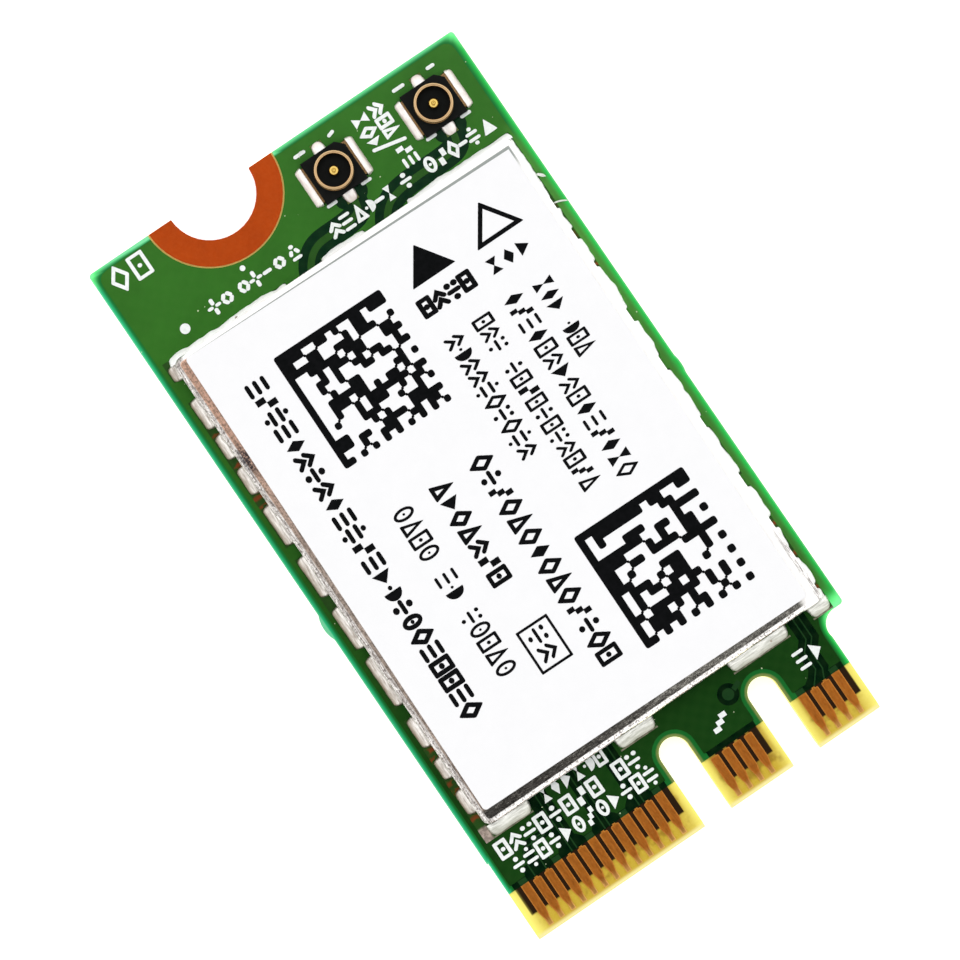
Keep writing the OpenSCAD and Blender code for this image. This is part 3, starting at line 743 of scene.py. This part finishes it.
platingLook = {
    "contact gold": {"tone": (0.60, 0.19, 0.022), "other": (0.42, 0.11, 0.014), "edge": (0.85, 0.45, 0.12),
                     "rough": (0.30, 0.48), "scale": 2.2, "stretch": (3.0, 0.7, 1.0)},
    "worn contact edges": {"tone": (0.50, 0.185, 0.030), "other": (0.40, 0.130, 0.020), "edge": (0.80, 0.45, 0.13),
                           "rough": (0.35, 0.5), "scale": 3.0, "stretch": (1.0, 1.0, 1.0)},
    "bare copper": {"tone": (0.62, 0.082, 0.008), "other": (0.50, 0.060, 0.007), "edge": (0.80, 0.22, 0.06),
                    "rough": (0.30, 0.42), "scale": 1.2, "stretch": (1.0, 1.0, 1.0)},
}
tailTone = (0.80, 0.50, 0.16)


def platingMaterial(name):
    look = platingLook[name]
    material, tree = newMaterial(name, Metallic=1.0, Specular_IOR_Level=0.3)
    color = cloudyTone(tree, look["tone"], look["other"], look["scale"], 1.6, look["stretch"])
    color = dustSpecks(tree, color, look["edge"], 2.4, 0.05, 0.1, 0.8)
    color = blend(times(fineGrain(tree, 9.0)["Value"], 0.14), color, look["edge"])
    color = blend(ramp(boardAxes(tree)[1], -29.35, -29.75, 0.0, 0.6), color, tailTone)
    rough, height = fineGrain(tree, 6.0, *look["rough"], look["stretch"])
    return feedShader(material, color, rough, height, 0.3, 0.006)


contactMaterial = platingMaterial("contact gold")
dress("contacts_bottom", contactMaterial)


def plateOutlines(node, level):
    # the outer edges of a node's flat faces at one height, joined into loops
    edges = set()
    for corners in boardFaces(node, level):
        keys = [(round(x, 4), round(y, 4)) for x, y in corners]
        for a, b in zip(keys, keys[1:] + keys[:1]):
            if (b, a) in edges:
                edges.remove((b, a))
            else:
                edges.add((a, b))
    ahead = dict(edges)
    loops = []
    while ahead:
        start, here = ahead.popitem()
        loop = [start]
        while here != start:
            loop.append(here)
            here = ahead.pop(here)
        loops.append(loop)
    return loops


contactPlate = {"shoulder": 0.028, "drop": 0.010, "top": 0.80, "foot": 0.76}


def makeContacts(plan):
    bm = bmesh.new()
    for loop in plateOutlines("contacts_top", plan["top"]):
        outer = loop if signedArea(loop) > 0 else loop[::-1]
        inner = frameShape(outer, plan["shoulder"] * 2)[1]
        levels = ((outer, plan["foot"]), (outer, plan["top"] - plan["drop"]), (inner, plan["top"]))
        rings = [[bm.verts.new((x * mm, y * mm, z * mm)) for x, y in points] for points, z in levels]
        bridgeRings(bm, rings, (0, 1))
    piece = finishPiece("gold_contacts", bm, [contactMaterial, platingMaterial("worn contact edges")])
    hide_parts("contacts_top")


makeContacts(contactPlate)
dress("mounting_land", platingMaterial("bare copper"))

padLook = {"clean": (0.022, 0.080, 0.010), "rust": (0.24, 0.035, 0.010), "tin": (0.25, 0.20, 0.17),
           "leftRust": [-7.55, -9.0, -10.42, -10.82, -17.5, -21.85, -22.2, -23.28, -23.62, -24.86],
           "rightRust": [-7.55, -8.9, -10.3, -12.65, -17.5, -22.05, -23.4, -24.9], "rustHalf": 0.12,
           "firstY": -4.0, "lastY": -26.0}


def tinted(color, share):
    return tuple(c * share for c in color)


def padMaterial(look):
    material, tree = newMaterial("fluxed pads", IOR=1.35, Roughness=0.35, Specular_IOR_Level=0.25)
    x, y, _ = boardAxes(tree)
    ragged = cloud(millimetres(tree), 6.0, 3.0)
    sway = calc("MULTIPLY_ADD", ragged, 0.12, y)

    def rusty(places):
        stops = [(look["lastY"], 0)]
        for at in sorted(places):
            stops += [(at - look["rustHalf"], 0), (at, 1), (at + look["rustHalf"], 0)]
        rising = [stop for i, stop in enumerate(stops) if i == 0 or stop[0] > stops[i - 1][0]]
        return profile(sway, rising + [(look["firstY"], 0)])

    where = between(ramp(x, 0.0, -1.0), rusty(look["rightRust"]), rusty(look["leftRust"]))
    color = cloudyTone(tree, look["clean"], tinted(look["clean"], 0.6), 3.0, 1.6)
    color = blend(times(where, ramp(cloud(millimetres(tree), 3.4, 2.0), 0.40, 0.54)), color, look["rust"])
    corner = times(ramp(x, -4.66, -4.78), ramp(y, -25.3, -25.45))
    farRow = times(ramp(y, -25.86, -25.92), 0.5)
    tin = blend(ramp(ragged, 0.40, 0.60), look["tin"], tinted(look["tin"], 1.9))
    color = blend(calc("MAXIMUM", corner, farRow), color, tin)
    return feedShader(material, color, None, ragged, 0.3, 0.01)


dress("shield_pads", padMaterial(padLook))

# can and label
canLook = {
    # leftTop, leftLow, stripDark and stripPale are painted reflection on the flat top, and white is painted highlight
    "leftTop": (0.80, 0.50, 0.37), "leftLow": (0.62, 0.50, 0.42), "rest": (0.80, 0.77, 0.73),
    "stripDark": (0.22, 0.20, 0.18), "stripPale": (0.95, 0.92, 0.82), "white": (0.98, 0.97, 0.96),
    # wall and wallBright are painted highlight on the walls; wallDark is painted shade on the left and far walls and
    # the worn patch on the right wall
    "wall": (0.98, 0.96, 0.95), "wallDark": (0.26, 0.23, 0.21), "wallCalm": (0.62, 0.59, 0.56),
    "wallBright": (1.0, 0.97, 0.94), "grain": (0.09, 0.07, 0.06), "stain": (0.03, 0.03, 0.04),
    "shadowLine": (0.46, 0.49, 0.47), "leftRough": 0.42, "topRough": 0.3, "bottomRough": 0.24, "rightRough": 0.75,
    "whiteRough": 0.8, "paintedLightRun": [(-5, 0.14), (-2, 0.14), (2, 0.40), (5, 0.86), (6.5, 0.68), (8, 0.52), (10.5, 0.6)],
    # the label's shadow along the near end: its slope and place, then how it widens to the right
    "edgeLine": (0.0188, 4.8766), "edgeGap": (0.0075, 0.055),
}


def canMaterial(look):
    material, tree = newMaterial("brushed tinned sheet", Metallic=1.0)
    x, y, z = boardAxes(tree)
    flat = ramp(z, 2.135, 2.148)
    left = times(flat, ramp(x, -4.0, -4.2))
    low = times(flat, ramp(y, -24.8, -24.95))
    nearEnd = times(ramp(y, -6.0, -5.2), ramp(x, -4.25, -4.05))
    # painted highlight: the right rim and the near end are painted white
    white = calc("MAXIMUM", ramp(x, 9.4, 9.8), nearEnd)
    alongY = fineGrain(tree, 3.0, 0.55, 1.25, (9.0, 0.7, 1.0))["Value"]
    alongX = fineGrain(tree, 3.0, 0.5, 1.32, (1.6, 6.0, 1.0))["Value"]
    streak = between(low, alongY, alongX)
    sparkle = cloud(millimetres(tree), 11.0, 3.0, 0.75)

    # the flat top: painted reflection, pink at the left and a strip at the far end going from dark to pale; brushed and
    # speckled
    color = blend(left, look["rest"], blend(ramp(y, -7.0, -15.0), look["leftTop"], look["leftLow"]))
    color = blend(low, color, blend(profile(x, look["paintedLightRun"]), look["stripDark"], look["stripPale"]))
    grey = addNode(tree, "CombineColor", {0: streak, 1: streak, 2: streak}).outputs[0]
    color = blend(times(flat, 0.85), color, blend(1.0, color, grey, "MULTIPLY"))
    grainy = times(ramp(sparkle, 0.56, 0.38), times(calc("MAXIMUM", left, low), 0.55))
    color = blend(grainy, color, look["grain"])

    # the walls: painted shade broken by brushed streaks of painted highlight on the left and far walls, painted
    # highlight on the rest, calmer near the board
    onWall = calc("SUBTRACT", 1.0, flat)
    calm = ramp(z, 2.0, 1.35, 0.0, 0.7)
    leftWall = blend(ramp(alongY, 0.68, 1.28), look["wallDark"], look["wallBright"])
    farWall = blend(ramp(alongX, 0.30, 0.85), look["wallDark"], look["wallBright"])
    onLeft = times(onWall, ramp(x, -4.2, -4.45))
    onFar = times(onWall, ramp(y, -24.9, -25.1))
    color = blend(onWall, color, look["wall"])
    color = blend(onFar, color, blend(calm, farWall, look["wallCalm"]))
    color = blend(onLeft, color, blend(calm, leftWall, look["wallCalm"]))
    marked = calc("MAXIMUM", onLeft, times(onFar, ramp(x, 10.1, 9.6)))
    color = blend(times(ramp(sparkle, 0.50, 0.40), marked, ramp(z, 1.3, 2.0, 0.12, 0.8)), color, look["grain"])

    # one stain at the near left corner, the painted highlight that turns the right and near rims white, and the painted
    # shadow line under the label's edge
    spot = vectorCalc("DISTANCE", vectorCalc("MULTIPLY", millimetres(tree), (1.0, 0.32, 0.0)),
                      (-4.44, -2.944, 0.0), "Value")
    stain = times(ramp(spot, 0.27, 0.09), ramp(sparkle, 0.66, 0.48))
    color = blend(times(stain, 0.9), color, look["stain"])
    color = blend(white, color, look["white"])
    rightWorn = times(ramp(x, 10.10, 10.24), ramp(y, -21.5, -23.5), ramp(alongY, 1.0, 0.75))
    color = blend(times(rightWorn, 0.8), color, look["wallDark"])
    past = calc("ADD", y, calc("MULTIPLY_ADD", x, *look["edgeLine"]))
    underEdge = times(calc("LESS_THAN", past, calc("MULTIPLY_ADD", x, *look["edgeGap"])), nearEnd, flat)
    color = blend(underEdge, color, look["shadowLine"])

    rough = profile(x, [(-5, look["leftRough"]), (-4.2, look["leftRough"]), (-4.0, look["topRough"]),
                        (9.5, look["topRough"]), (9.8, look["rightRough"]), (11, look["rightRough"])])
    rough = between(white, times(between(low, rough, look["bottomRough"]), streak), look["whiteRough"])
    height = calc("MULTIPLY_ADD", streak, 0.6, fineGrain(tree, 16.0)["Height"])
    return feedShader(material, color, rough, height, 0.35, 0.008)


dress("shield_can", canMaterial(canLook))

# edge is painted shade on the label's cut side
paperLook = {"tone": (0.835, 0.832, 0.84), "other": (0.80, 0.80, 0.81), "edge": (0.62, 0.60, 0.58)}
labelTop = 2.226


def paperMaterial(look):
    material, tree = newMaterial("matt white paper", IOR=1.4)
    color = cloudyTone(tree, look["tone"], look["other"], 1.5, 1.2)
    # painted shade on the label's side below its top face
    color = blend(ramp(boardAxes(tree)[2], labelTop, 2.20), color, look["edge"])
    rough, height = fineGrain(tree, 7.0, 0.55, 0.8)
    return feedShader(material, color, rough, height, 0.25, 0.01)


dress("label", paperMaterial(paperLook))
print("board, contacts, can and label have their finishes")

# sockets and hidden parts
socketPlaces = [(4.33, -1.94), (8.84, -1.94)]
partLook = {
    "black moulding": {"tone": (0.0025, 0.003, 0.0025), "other": (0.006, 0.007, 0.0065), "rough": (0.35, 0.55),
                       "scale": 4.0, "members": ["main_socket_base", "aux_socket_base"]},
    # the crest tones are painted highlights and the inside tones painted shade
    "gold stamping": {"tone": (0.48, 0.30, 0.14), "other": (0.34, 0.19, 0.08), "rough": (0.14, 0.26), "scale": 5.0,
                      "metal": 1.0, "members": ["main_socket_shell", "aux_socket_shell"], "inside": (0.22, 0.13, 0.055),
                      "crest": {"from": 1.350, "to": 1.385, "radius": 0.84, "tone": (0.60, 0.40, 0.21)}},
    "pin gold": {"tone": (0.68, 0.47, 0.12), "other": (0.52, 0.33, 0.08), "rough": (0.16, 0.30), "scale": 6.0,
                 "metal": 1.0, "members": ["main_socket_pin", "aux_socket_pin"], "inside": (0.30, 0.18, 0.05),
                 "crest": {"from": 1.24, "to": 1.30, "radius": 0.25, "tone": (0.74, 0.52, 0.14)}},
    "chip moulding": {"tone": (0.018, 0.018, 0.020), "other": (0.028, 0.028, 0.030), "rough": (0.45, 0.65),
                      "scale": 6.0, "members": ["radio_chip", "main_front_end", "aux_front_end", "memory_chip"]},
    "crystal lid": {"tone": (0.62, 0.60, 0.54), "other": (0.50, 0.48, 0.43), "rough": (0.25, 0.40), "scale": 3.0,
                    "metal": 1.0, "members": ["clock_crystal"]},
    "filter ceramic": {"tone": (0.72, 0.66, 0.54), "other": (0.60, 0.55, 0.45), "rough": (0.40, 0.60),
                       "scale": 5.0, "members": ["band_filters"]},
    "ferrite": {"tone": (0.07, 0.07, 0.07), "other": (0.11, 0.105, 0.10), "rough": (0.50, 0.70), "scale": 6.0,
                "members": ["power_inductor"]},
    "capacitor ceramic": {"tone": (0.42, 0.31, 0.19), "other": (0.34, 0.24, 0.14), "rough": (0.40, 0.60),
                          "scale": 6.0, "members": ["capacitors"]},
    "resistor film": {"tone": (0.045, 0.045, 0.05), "other": (0.065, 0.06, 0.06), "rough": (0.35, 0.50),
                      "scale": 8.0, "members": ["resistors"]},
}
crestRough = 0.28


def partMaterial(name, look):
    material, tree = newMaterial(name, Metallic=look.get("metal", 0.0), IOR=1.3, Specular_IOR_Level=0.2)
    color = cloudyTone(tree, look["tone"], look["other"], look["scale"], 1.8)
    rough, height = fineGrain(tree, 12.0, *look["rough"])
    if "crest" in look:
        # painted highlight on the crest of the turned lip and painted shade inside it
        x, y, z = boardAxes(tree)
        crest = look["crest"]
        reach = [vectorCalc("DISTANCE", flatPoint(x, y), (cx, cy, 0.0), "Value") for cx, cy in socketPlaces]
        inside = times(ramp(calc("MINIMUM", *reach), crest["radius"] + 0.03, crest["radius"] - 0.03),
                       ramp(z, crest["from"], crest["from"] - 0.16))
        onCrest = ramp(z, crest["from"], crest["to"])
        color = blend(onCrest, blend(inside, color, look["inside"]), crest["tone"])
        rough = calc("MAXIMUM", rough, times(onCrest, crestRough))
    return feedShader(material, color, rough, height, 0.3, 0.008)


for finish, finishLook in partLook.items():
    partFinish = partMaterial(finish, finishLook)
    for member in finishLook["members"]:
        dress(member, partFinish)

# solder: beads along the can's foot and joints at the sockets
solderLook = {
    # side, far and near solder are lit and shaded copies of one solder: painted shade dims the left and far beads,
    # painted highlight whitens the near and right beads
    "side solder": {"bright": (0.98, 0.95, 0.91), "dull": (0.34, 0.30, 0.26), "edge": (0.30, 0.23, 0.16),
                    "edgeShare": 0.95, "rough": (0.30, 0.50), "stretch": (5.0, 0.8, 1.0), "flux": 0.10},
    "far solder": {"bright": (0.97, 0.97, 0.92), "dull": (0.42, 0.42, 0.37), "edge": (0.36, 0.36, 0.28),
                   "edgeShare": 0.75, "rough": (0.30, 0.50), "stretch": (0.8, 5.0, 1.0), "flux": 0.10},
    "near solder": {"bright": (1.0, 1.0, 1.0), "dull": (0.93, 0.92, 0.91), "edge": (0.92, 0.94, 0.91),
                    "edgeShare": 0.5, "rough": (0.75, 0.95), "stretch": (1.0, 2.0, 1.0), "flux": 0.04},
    "joint solder": {"bright": (0.97, 0.95, 0.93), "dull": (0.78, 0.72, 0.68), "edge": (0.62, 0.50, 0.44),
                     "edgeShare": 0.6, "rough": (0.35, 0.55), "stretch": (3.0, 1.0, 1.0), "flux": 0.0},
}
fluxColor = (0.22, 0.13, 0.06)


def solderMaterial(name, look):
    material, tree = newMaterial(name, Metallic=0.9)
    color = cloudyTone(tree, look["dull"], look["bright"], 2.4, 3.0, look["stretch"])
    thin = addNode(tree, "Attribute", attribute_name="thin").outputs["Fac"]
    color = blend(times(thin, look["edgeShare"]), color, look["edge"])
    color = dustSpecks(tree, color, fluxColor, 3.4, 0.22, look["flux"], 0.6)
    rough, height = fineGrain(tree, 5.0, *look["rough"], look["stretch"])
    return feedShader(material, color, rough, height, 0.3, 0.02)


solderMaterials = [solderMaterial(*entry) for entry in solderLook.items()]
padTop = 0.80


def addBead(bm, start, end, outward, row, seed):
    # one bead of solder from start to end, rounded at both, with its slope toward outward
    thin = bm.verts.layers.float.get("thin") or bm.verts.layers.float.new("thin")
    start, end, outward = Vector(start), Vector(end), Vector(outward)
    reach, wobble, inside = row["reach"], row["wobble"], row.get("inside", 0.04)
    length = (end - start).length
    along = (end - start) / length
    steps, across = max(10, int(length / 0.07)), 6
    roundEnd = min(reach * row.get("endRound", 0.55), length * 0.45)
    rings = []
    for i in range(steps + 1):
        run = length * i / steps
        near = min(1.0, min(run, length - run) / roundEnd)
        full = math.sqrt(max(0.0, 1 - (1 - near) ** 2))
        sway = noise.noise(Vector((run * 1.7, seed * 7.3, 0.5)))
        ripple = noise.noise(Vector((run * 4.1, seed * 3.1, 9.5)))
        out = reach * (0.22 + 0.78 * full) * (1 - wobble + wobble * (sway * 1.3 + ripple * 0.6))
        tall = row["height"] * (0.12 + 0.88 * full) * (1 + wobble * 1.5 * (ripple + sway * 0.5))
        spot = start + along * run
        ring = [(spot - outward * inside, padTop), (spot - outward * inside, padTop + tall)]
        for j in range(across + 1):
            v = j / across
            slope = 0.5 * (1 - v) ** 1.4 + 0.5 * (1 - v ** 2.6) ** 0.7
            lump = 0.012 * noise.noise(Vector((run * 6.0, v * 3.0, seed * 1.9))) * math.sin(math.pi * v)
            ring.append((spot + outward * out * v, padTop + tall * slope + lump if j < across else padTop))
        rings.append([bm.verts.new((p.x * mm, p.y * mm, z * mm)) for p, z in ring])
        for j, vert in enumerate(rings[-1][2:]):
            vert[thin] = min(1.0, max((j / across) ** 2 * 1.15, (1 - full) ** 1.5))
    bridgeRings(bm, rings, [row["finish"]] * steps)


canWalls = {"left": -4.72, "right": 10.38, "near": -4.60, "far": -25.45}
beadPlan = {  # spans run along the wall, measured from the mounting end or from the left
    "left": {"reach": 0.34, "height": 0.24, "wobble": 0.05, "finish": 0,
             "spans": [(-5.25, -4.55), (-7.42, -6.05), (-8.78, -7.68), (-10.36, -9.15), (-12.65, -10.9),
                       (-15.0, -13.2), (-17.35, -15.5), (-19.9, -17.72), (-21.78, -20.45), (-23.2, -22.27),
                       (-24.78, -23.68)]},
    "right": {"reach": 0.26, "height": 0.22, "wobble": 0.24, "finish": 2,
              "spans": [(-7.35, -4.6), (-8.75, -7.75), (-10.25, -9.15), (-12.4, -10.4), (-14.55, -12.9),
                        (-17.3, -15.1), (-19.85, -17.7), (-21.85, -20.4), (-23.2, -22.25), (-24.85, -23.6),
                        (-25.6, -25.0)]},
    "near": {"reach": 0.33, "height": 0.40, "wobble": 0.18, "finish": 2,
             "spans": [(-4.85, 0.50), (2.02, 4.04), (5.92, 10.60)]},
    "far": {"reach": 0.47, "height": 0.22, "wobble": 0.05, "finish": 1,
            "spans": [(-4.76, -2.9), (0.98, 2.70), (6.06, 8.70), (9.66, 10.60)]},
}


def makeBeads(plan, walls):
    bm = bmesh.new()
    seed = 1
    for wall, row in plan.items():
        for a, b in row["spans"]:
            seed += 1
            at = walls[wall]
            if wall in ("left", "right"):
                addBead(bm, (at, a), (at, b), (-1 if wall == "left" else 1, 0), row, seed)
            else:
                addBead(bm, (a, at), (b, at), (0, 1 if wall == "near" else -1), row, seed)
    piece = finishPiece("can_solder", bm, solderMaterials, 50)
    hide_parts("shield_solder")


makeBeads(beadPlan, canWalls)

jointPlan = {  # from and half are measured from the socket's middle
    "side": {"from": 1.03, "half": 0.85, "reach": 1.30 - 1.03, "height": 0.20, "wobble": 0.03, "inside": 0.02,
             "finish": 3},
    "end": {"from": 0.93, "half": 0.27, "reach": 1.36 - 0.93, "height": 0.18, "wobble": 0.05, "inside": 0.02,
            "endRound": 1.0, "finish": 3},
}


def makeJoints(plan, places):
    bm = bmesh.new()
    seed = 40
    for cx, cy in places:
        for side in (-1, 1):
            seed += 1
            row = plan["side"]
            x = cx + side * row["from"]
            addBead(bm, (x, cy - row["half"]), (x, cy + row["half"]), (side, 0), row, seed)
            row = plan["end"]
            y = cy + side * row["from"]
            addBead(bm, (cx - row["half"], y), (cx + row["half"], y), (0, side), row, seed + 20)
    piece = finishPiece("socket_joints", bm, solderMaterials, 50)
    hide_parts("socket_solder")


makeJoints(jointPlan, socketPlaces)
print("solder laid")

# white legend on the coat, in plain symbols
inkLook = {"white legend ink": ((0.92, 0.93, 0.93), (0.66, 0.71, 0.68)),
           "black label print": ((0.0015, 0.002, 0.002), (0.006, 0.006, 0.007)),
           "pale lint": ((0.82, 0.84, 0.80), (0.55, 0.58, 0.52))}


def inkMaterial(name):
    material, tree = newMaterial(name, Roughness=0.5, IOR=1.2, Specular_IOR_Level=0.1)
    color = cloudyTone(tree, *inkLook[name], 6.0, 1.6)
    return feedShader(material, color, None, fineGrain(tree, 18.0)["Height"], 0.3, 0.006)


legendPlan = {
    "stroke": 0.125, "foot": 0.795, "top": 0.826,
    "boxes": [  # kind, lower left corner, width, height
        ("diamond", (-4.92, -1.28), 0.72, 1.03), ("frame", (-4.02, -1.28), 0.70, 1.03),
        ("chevrons", (2.93, -4.10), 0.48, 0.65), ("rungs", (3.46, -4.10), 0.46, 0.65),
        ("wedge", (4.03, -4.08), 0.44, 0.62), ("halfMoon", (4.52, -4.06), 0.38, 0.60),
        ("glass", (5.42, -4.08), 0.34, 0.62), ("split", (6.15, -4.05), 0.45, 0.66),
        ("target", (7.23, -4.08), 0.48, 0.68), ("tiles", (7.80, -4.08), 0.44, 0.66),
        ("diamond", (8.30, -4.08), 0.42, 0.66), ("gate", (9.18, -4.06), 0.44, 0.62),
        ("rungs", (8.24, -27.27), 0.50, 0.76), ("pennant", (8.92, -27.27), 0.46, 0.76),
        ("steps", (4.25, -27.42), 0.80, 0.62)],
    "turned": [  # heads toward +X, read toward -Y: kind, lower left corner before the turn, width, height
        ("glass", (5.90, -0.64), 0.50, 0.65), ("diamond", (5.90, -1.22), 0.42, 0.65),
        ("pennant", (5.90, -1.70), 0.34, 0.65), ("chevrons", (6.66, -0.62), 0.50, 0.62),
        ("frame", (6.66, -1.20), 0.42, 0.62), ("wedge", (6.66, -1.68), 0.36, 0.62),
        ("tiles", (6.66, -2.52), 0.40, 0.64), ("rungs", (6.66, -3.00), 0.38, 0.64)],
    "broken": [
        ("brokenCross", (-2.46, -3.93), 0.46, 0.60), ("brokenDiamond", (-1.88, -3.93), 0.48, 0.60),
        ("brokenDiamond", (-1.12, -3.93), 0.46, 0.60), ("brokenCross", (-0.58, -3.93), 0.44, 0.60),
        ("brokenDiamond", (0.48, -3.93), 0.48, 0.60), ("brokenWedge", (1.16, -3.93), 0.44, 0.60)],
    "lines": [  # two ends of each plain stroke
        ((3.42, -0.67), (3.80, -0.67)), ((4.93, -0.70), (5.12, -0.64)), ((3.42, -2.91), (3.75, -2.91)),
        ((4.97, -2.91), (5.29, -2.91)), ((7.89, -0.67), (8.30, -0.67)), ((9.42, -0.67), (9.66, -0.67)),
        ((7.92, -2.91), (8.25, -2.91)), ((9.47, -2.91), (9.80, -2.91)), ((4.99, -3.76), (5.30, -3.76)),
        ((8.79, -3.76), (9.06, -3.76)), ((6.02, -2.12), (7.24, -2.38)), ((0.02, -3.64), (0.28, -3.64))],
    "dots": [((-3.6, -3.7), 0.20), ((-0.55, -3.02), 0.11)],
    "rows": [  # lower left corner, length, height, count, first mark, gaps
        ((-2.47, -25.98), 2.95, 0.72, 6, 3, ()), ((-4.93, -26.82), 6.45, 0.72, 11, 0, (8,)),
        ((-4.74, -27.62), 6.45, 0.70, 12, 7, ())],
    "wedge": [(9.78, -4.02), (10.34, -4.02), (10.06, -3.42)],
}


def makeLegend(plan):
    stroke = plan["stroke"]
    groups = []
    for kinds in ("boxes", "turned", "broken"):
        groups += [boxMark(*mark, stroke, kinds != "turned") for mark in plan[kinds]]
    groups += [[(strokeOutline(ends, stroke * 1.1), None)] for ends in plan["lines"]]
    groups += [[(ovalPoints(center, radius, steps=24), None)] for center, radius in plan["dots"]]
    for corner, length, tall, count, first, gaps in plan["rows"]:
        groups += markRow(corner, length, tall, stroke, count, first, gaps)
    groups.append([(roundCorners(plan["wedge"], 0.06), None)])
    inkPiece("white_legend", groups, plan["foot"], plan["top"], inkMaterial("white legend ink"))


makeLegend(legendPlan)

# black print on the label
printPlan = {
    "middle": (2.83, -14.92), "skew": -0.6, "top": 2.236,  # skew in degrees
    "rows": [  # start corner, length, height, stroke, count, first mark, gaps, upright
        ((1.13, 6.33), 2.36, 0.72, 0.17, 4, 0, (), True), ((4.05, 6.28), 1.94, 0.64, 0.16, 3, 3, (), True),
        ((-5.95, 7.95), 15.0, 0.84, 0.17, 23, 1, (), False), ((-4.04, 0.98), 7.4, 0.88, 0.12, 13, 4, (4, 7), False),
        ((-2.34, 0.99), 4.48, 0.83, 0.16, 7, 9, (), False), ((-0.60, 1.01), 9.16, 0.90, 0.16, 14, 2, (), False),
        ((1.12, 5.28), 5.42, 0.86, 0.13, 10, 5, (), False), ((2.40, 5.29), 7.66, 0.84, 0.12, 15, 0, (3,), False),
        ((3.78, 5.38), 8.13, 0.90, 0.12, 15, 8, (), False), ((5.02, 5.22), 3.30, 0.85, 0.12, 7, 3, (3,), False),
        ((-2.34, -5.42), 1.46, 0.80, 0.12, 2, 11, (), False)],
    "wedge": [(1.31, 7.51), (3.21, 7.53), (2.24, 8.91)],
    "frames": [  # outline, stroke, corner radius
        ([(4.27, 7.48), (6.02, 7.50), (5.13, 8.76)], 0.17, 0.06), (boxPoints(-2.56, -7.01, -1.29, -5.28), 0.10, 0.04)],
    "codes": [{"corner": (-4.46, 3.31), "size": (4.73, 4.93), "cells": 18, "seed": 3.7},
              {"corner": (1.14, -8.41), "size": (4.83, 4.94), "cells": 16, "seed": 8.1}],
    "darkFrom": 0.47, "cellRound": 0.11, "touchRadius": 0.055,
}


def codeOutlines(plan):
    # a square field of cells scattered by a formula; it says nothing
    count, (x0, y0) = plan["cells"], plan["corner"]
    stepX, stepY = plan["size"][0] / count, plan["size"][1] / count

    def dark(i, j):
        if not (0 <= i < count and 0 <= j < count):
            return False
        if i == 0 or j == count - 1:
            return True
        if i == count - 1 or j == 0:
            return (i + j) % 2 == 1
        scatter = math.sin(i * 12.9898 + j * 78.233 + plan["seed"]) * 43758.5453
        return scatter - math.floor(scatter) > printPlan["darkFrom"]

    shapes = []
    for i, j in [(i, j) for i in range(count) for j in range(count) if dark(i, j)]:
        ax, ay = x0 + i * stepX, y0 + j * stepY
        shapes.append(roundCorners(boxPoints(ax, ay, ax + stepX, ay + stepY), printPlan["cellRound"], 3))
        for side in (-1, 1):
            if dark(i + side, j + 1) and not dark(i + side, j) and not dark(i, j + 1):
                touch = (ax + stepX * (1 + side) / 2, ay + stepY)
                shapes.append(ovalPoints(touch, printPlan["touchRadius"], steps=8))
        if dark(i + 1, j):
            shapes.append(boxPoints(ax + stepX / 2, ay, ax + stepX * 1.5, ay + stepY))
        if dark(i, j + 1):
            shapes.append(boxPoints(ax, ay + stepY / 2, ax + stepX, ay + stepY * 1.5))
    return [(shape, None) for shape in shapes]


def makePrint(plan):
    groups = [[(roundCorners(plan["wedge"], 0.05), None)]]
    for outline, stroke, radius in plan["frames"]:
        outer, inner = frameShape(outline, stroke)
        groups.append([(roundCorners(outer, radius), inner)])
    for row in plan["rows"]:
        groups += markRow(*row)
    groups += [codeOutlines(code) for code in plan["codes"]]
    turn = Matrix.Rotation(math.radians(plan["skew"]), 2)

    def onLabel(x, y):
        return tuple(Vector(plan["middle"]) + turn @ Vector((x, y)))

    groups = [placeShapes(group, onLabel) for group in groups]
    inkPiece("label_print", groups, labelTop, plan["top"], inkMaterial("black label print"))


makePrint(printPlan)
print("legend and label print laid")

# lint and splinters on the board
lintRuns = {
    "lint_right": {"radius": 0.034, "points": [(10.45, -7.55, 0.84), (10.62, -7.58, 0.88), (10.82, -7.66, 0.86),
                                               (10.98, -7.76, 0.84)]},
    "lint_socket": {"radius": 0.012, "points": [(3.55, -0.80, 0.83), (3.58, -0.64, 0.85), (3.70, -0.58, 0.86),
                                                (3.82, -0.64, 0.84)]},
    "splinter": {"radius": 0.06, "points": [(10.55, -6.28, 0.86), (10.66, -6.38, 0.88), (10.80, -6.54, 0.85)]},
}


def makeLint(name, run, material):
    bm = bmesh.new()
    path = [Vector(p) for p in run["points"]]
    fine = [path[0]]
    for a, b in zip(path, path[1:]):
        fine += [a.lerp(b, 0.33), a.lerp(b, 0.67)]
    fine.append(path[-1])
    rings, sides = [], 6
    for i, p in enumerate(fine):
        heading = (fine[min(i + 1, len(fine) - 1)] - fine[max(i - 1, 0)]).normalized()
        side = heading.cross(Vector((0, 0, 1))).normalized()
        up = side.cross(heading)
        thin = run["radius"] * (1 - 0.75 * abs(2 * i / (len(fine) - 1) - 1) ** 3)
        rings.append([bm.verts.new((p + (side * math.cos(t) + up * math.sin(t)) * thin) * mm)
                      for t in [2 * math.pi * k / sides for k in range(sides)]])
    bridgeRings(bm, rings, [0] * len(rings))
    finishPiece(name, bm, [material], 60)


lintMaterial = inkMaterial("pale lint")
for lintName, lintRun in lintRuns.items():
    makeLint(lintName, lintRun, lintMaterial)
print("lint laid, the card is complete")

bpy.context.view_layer.update()
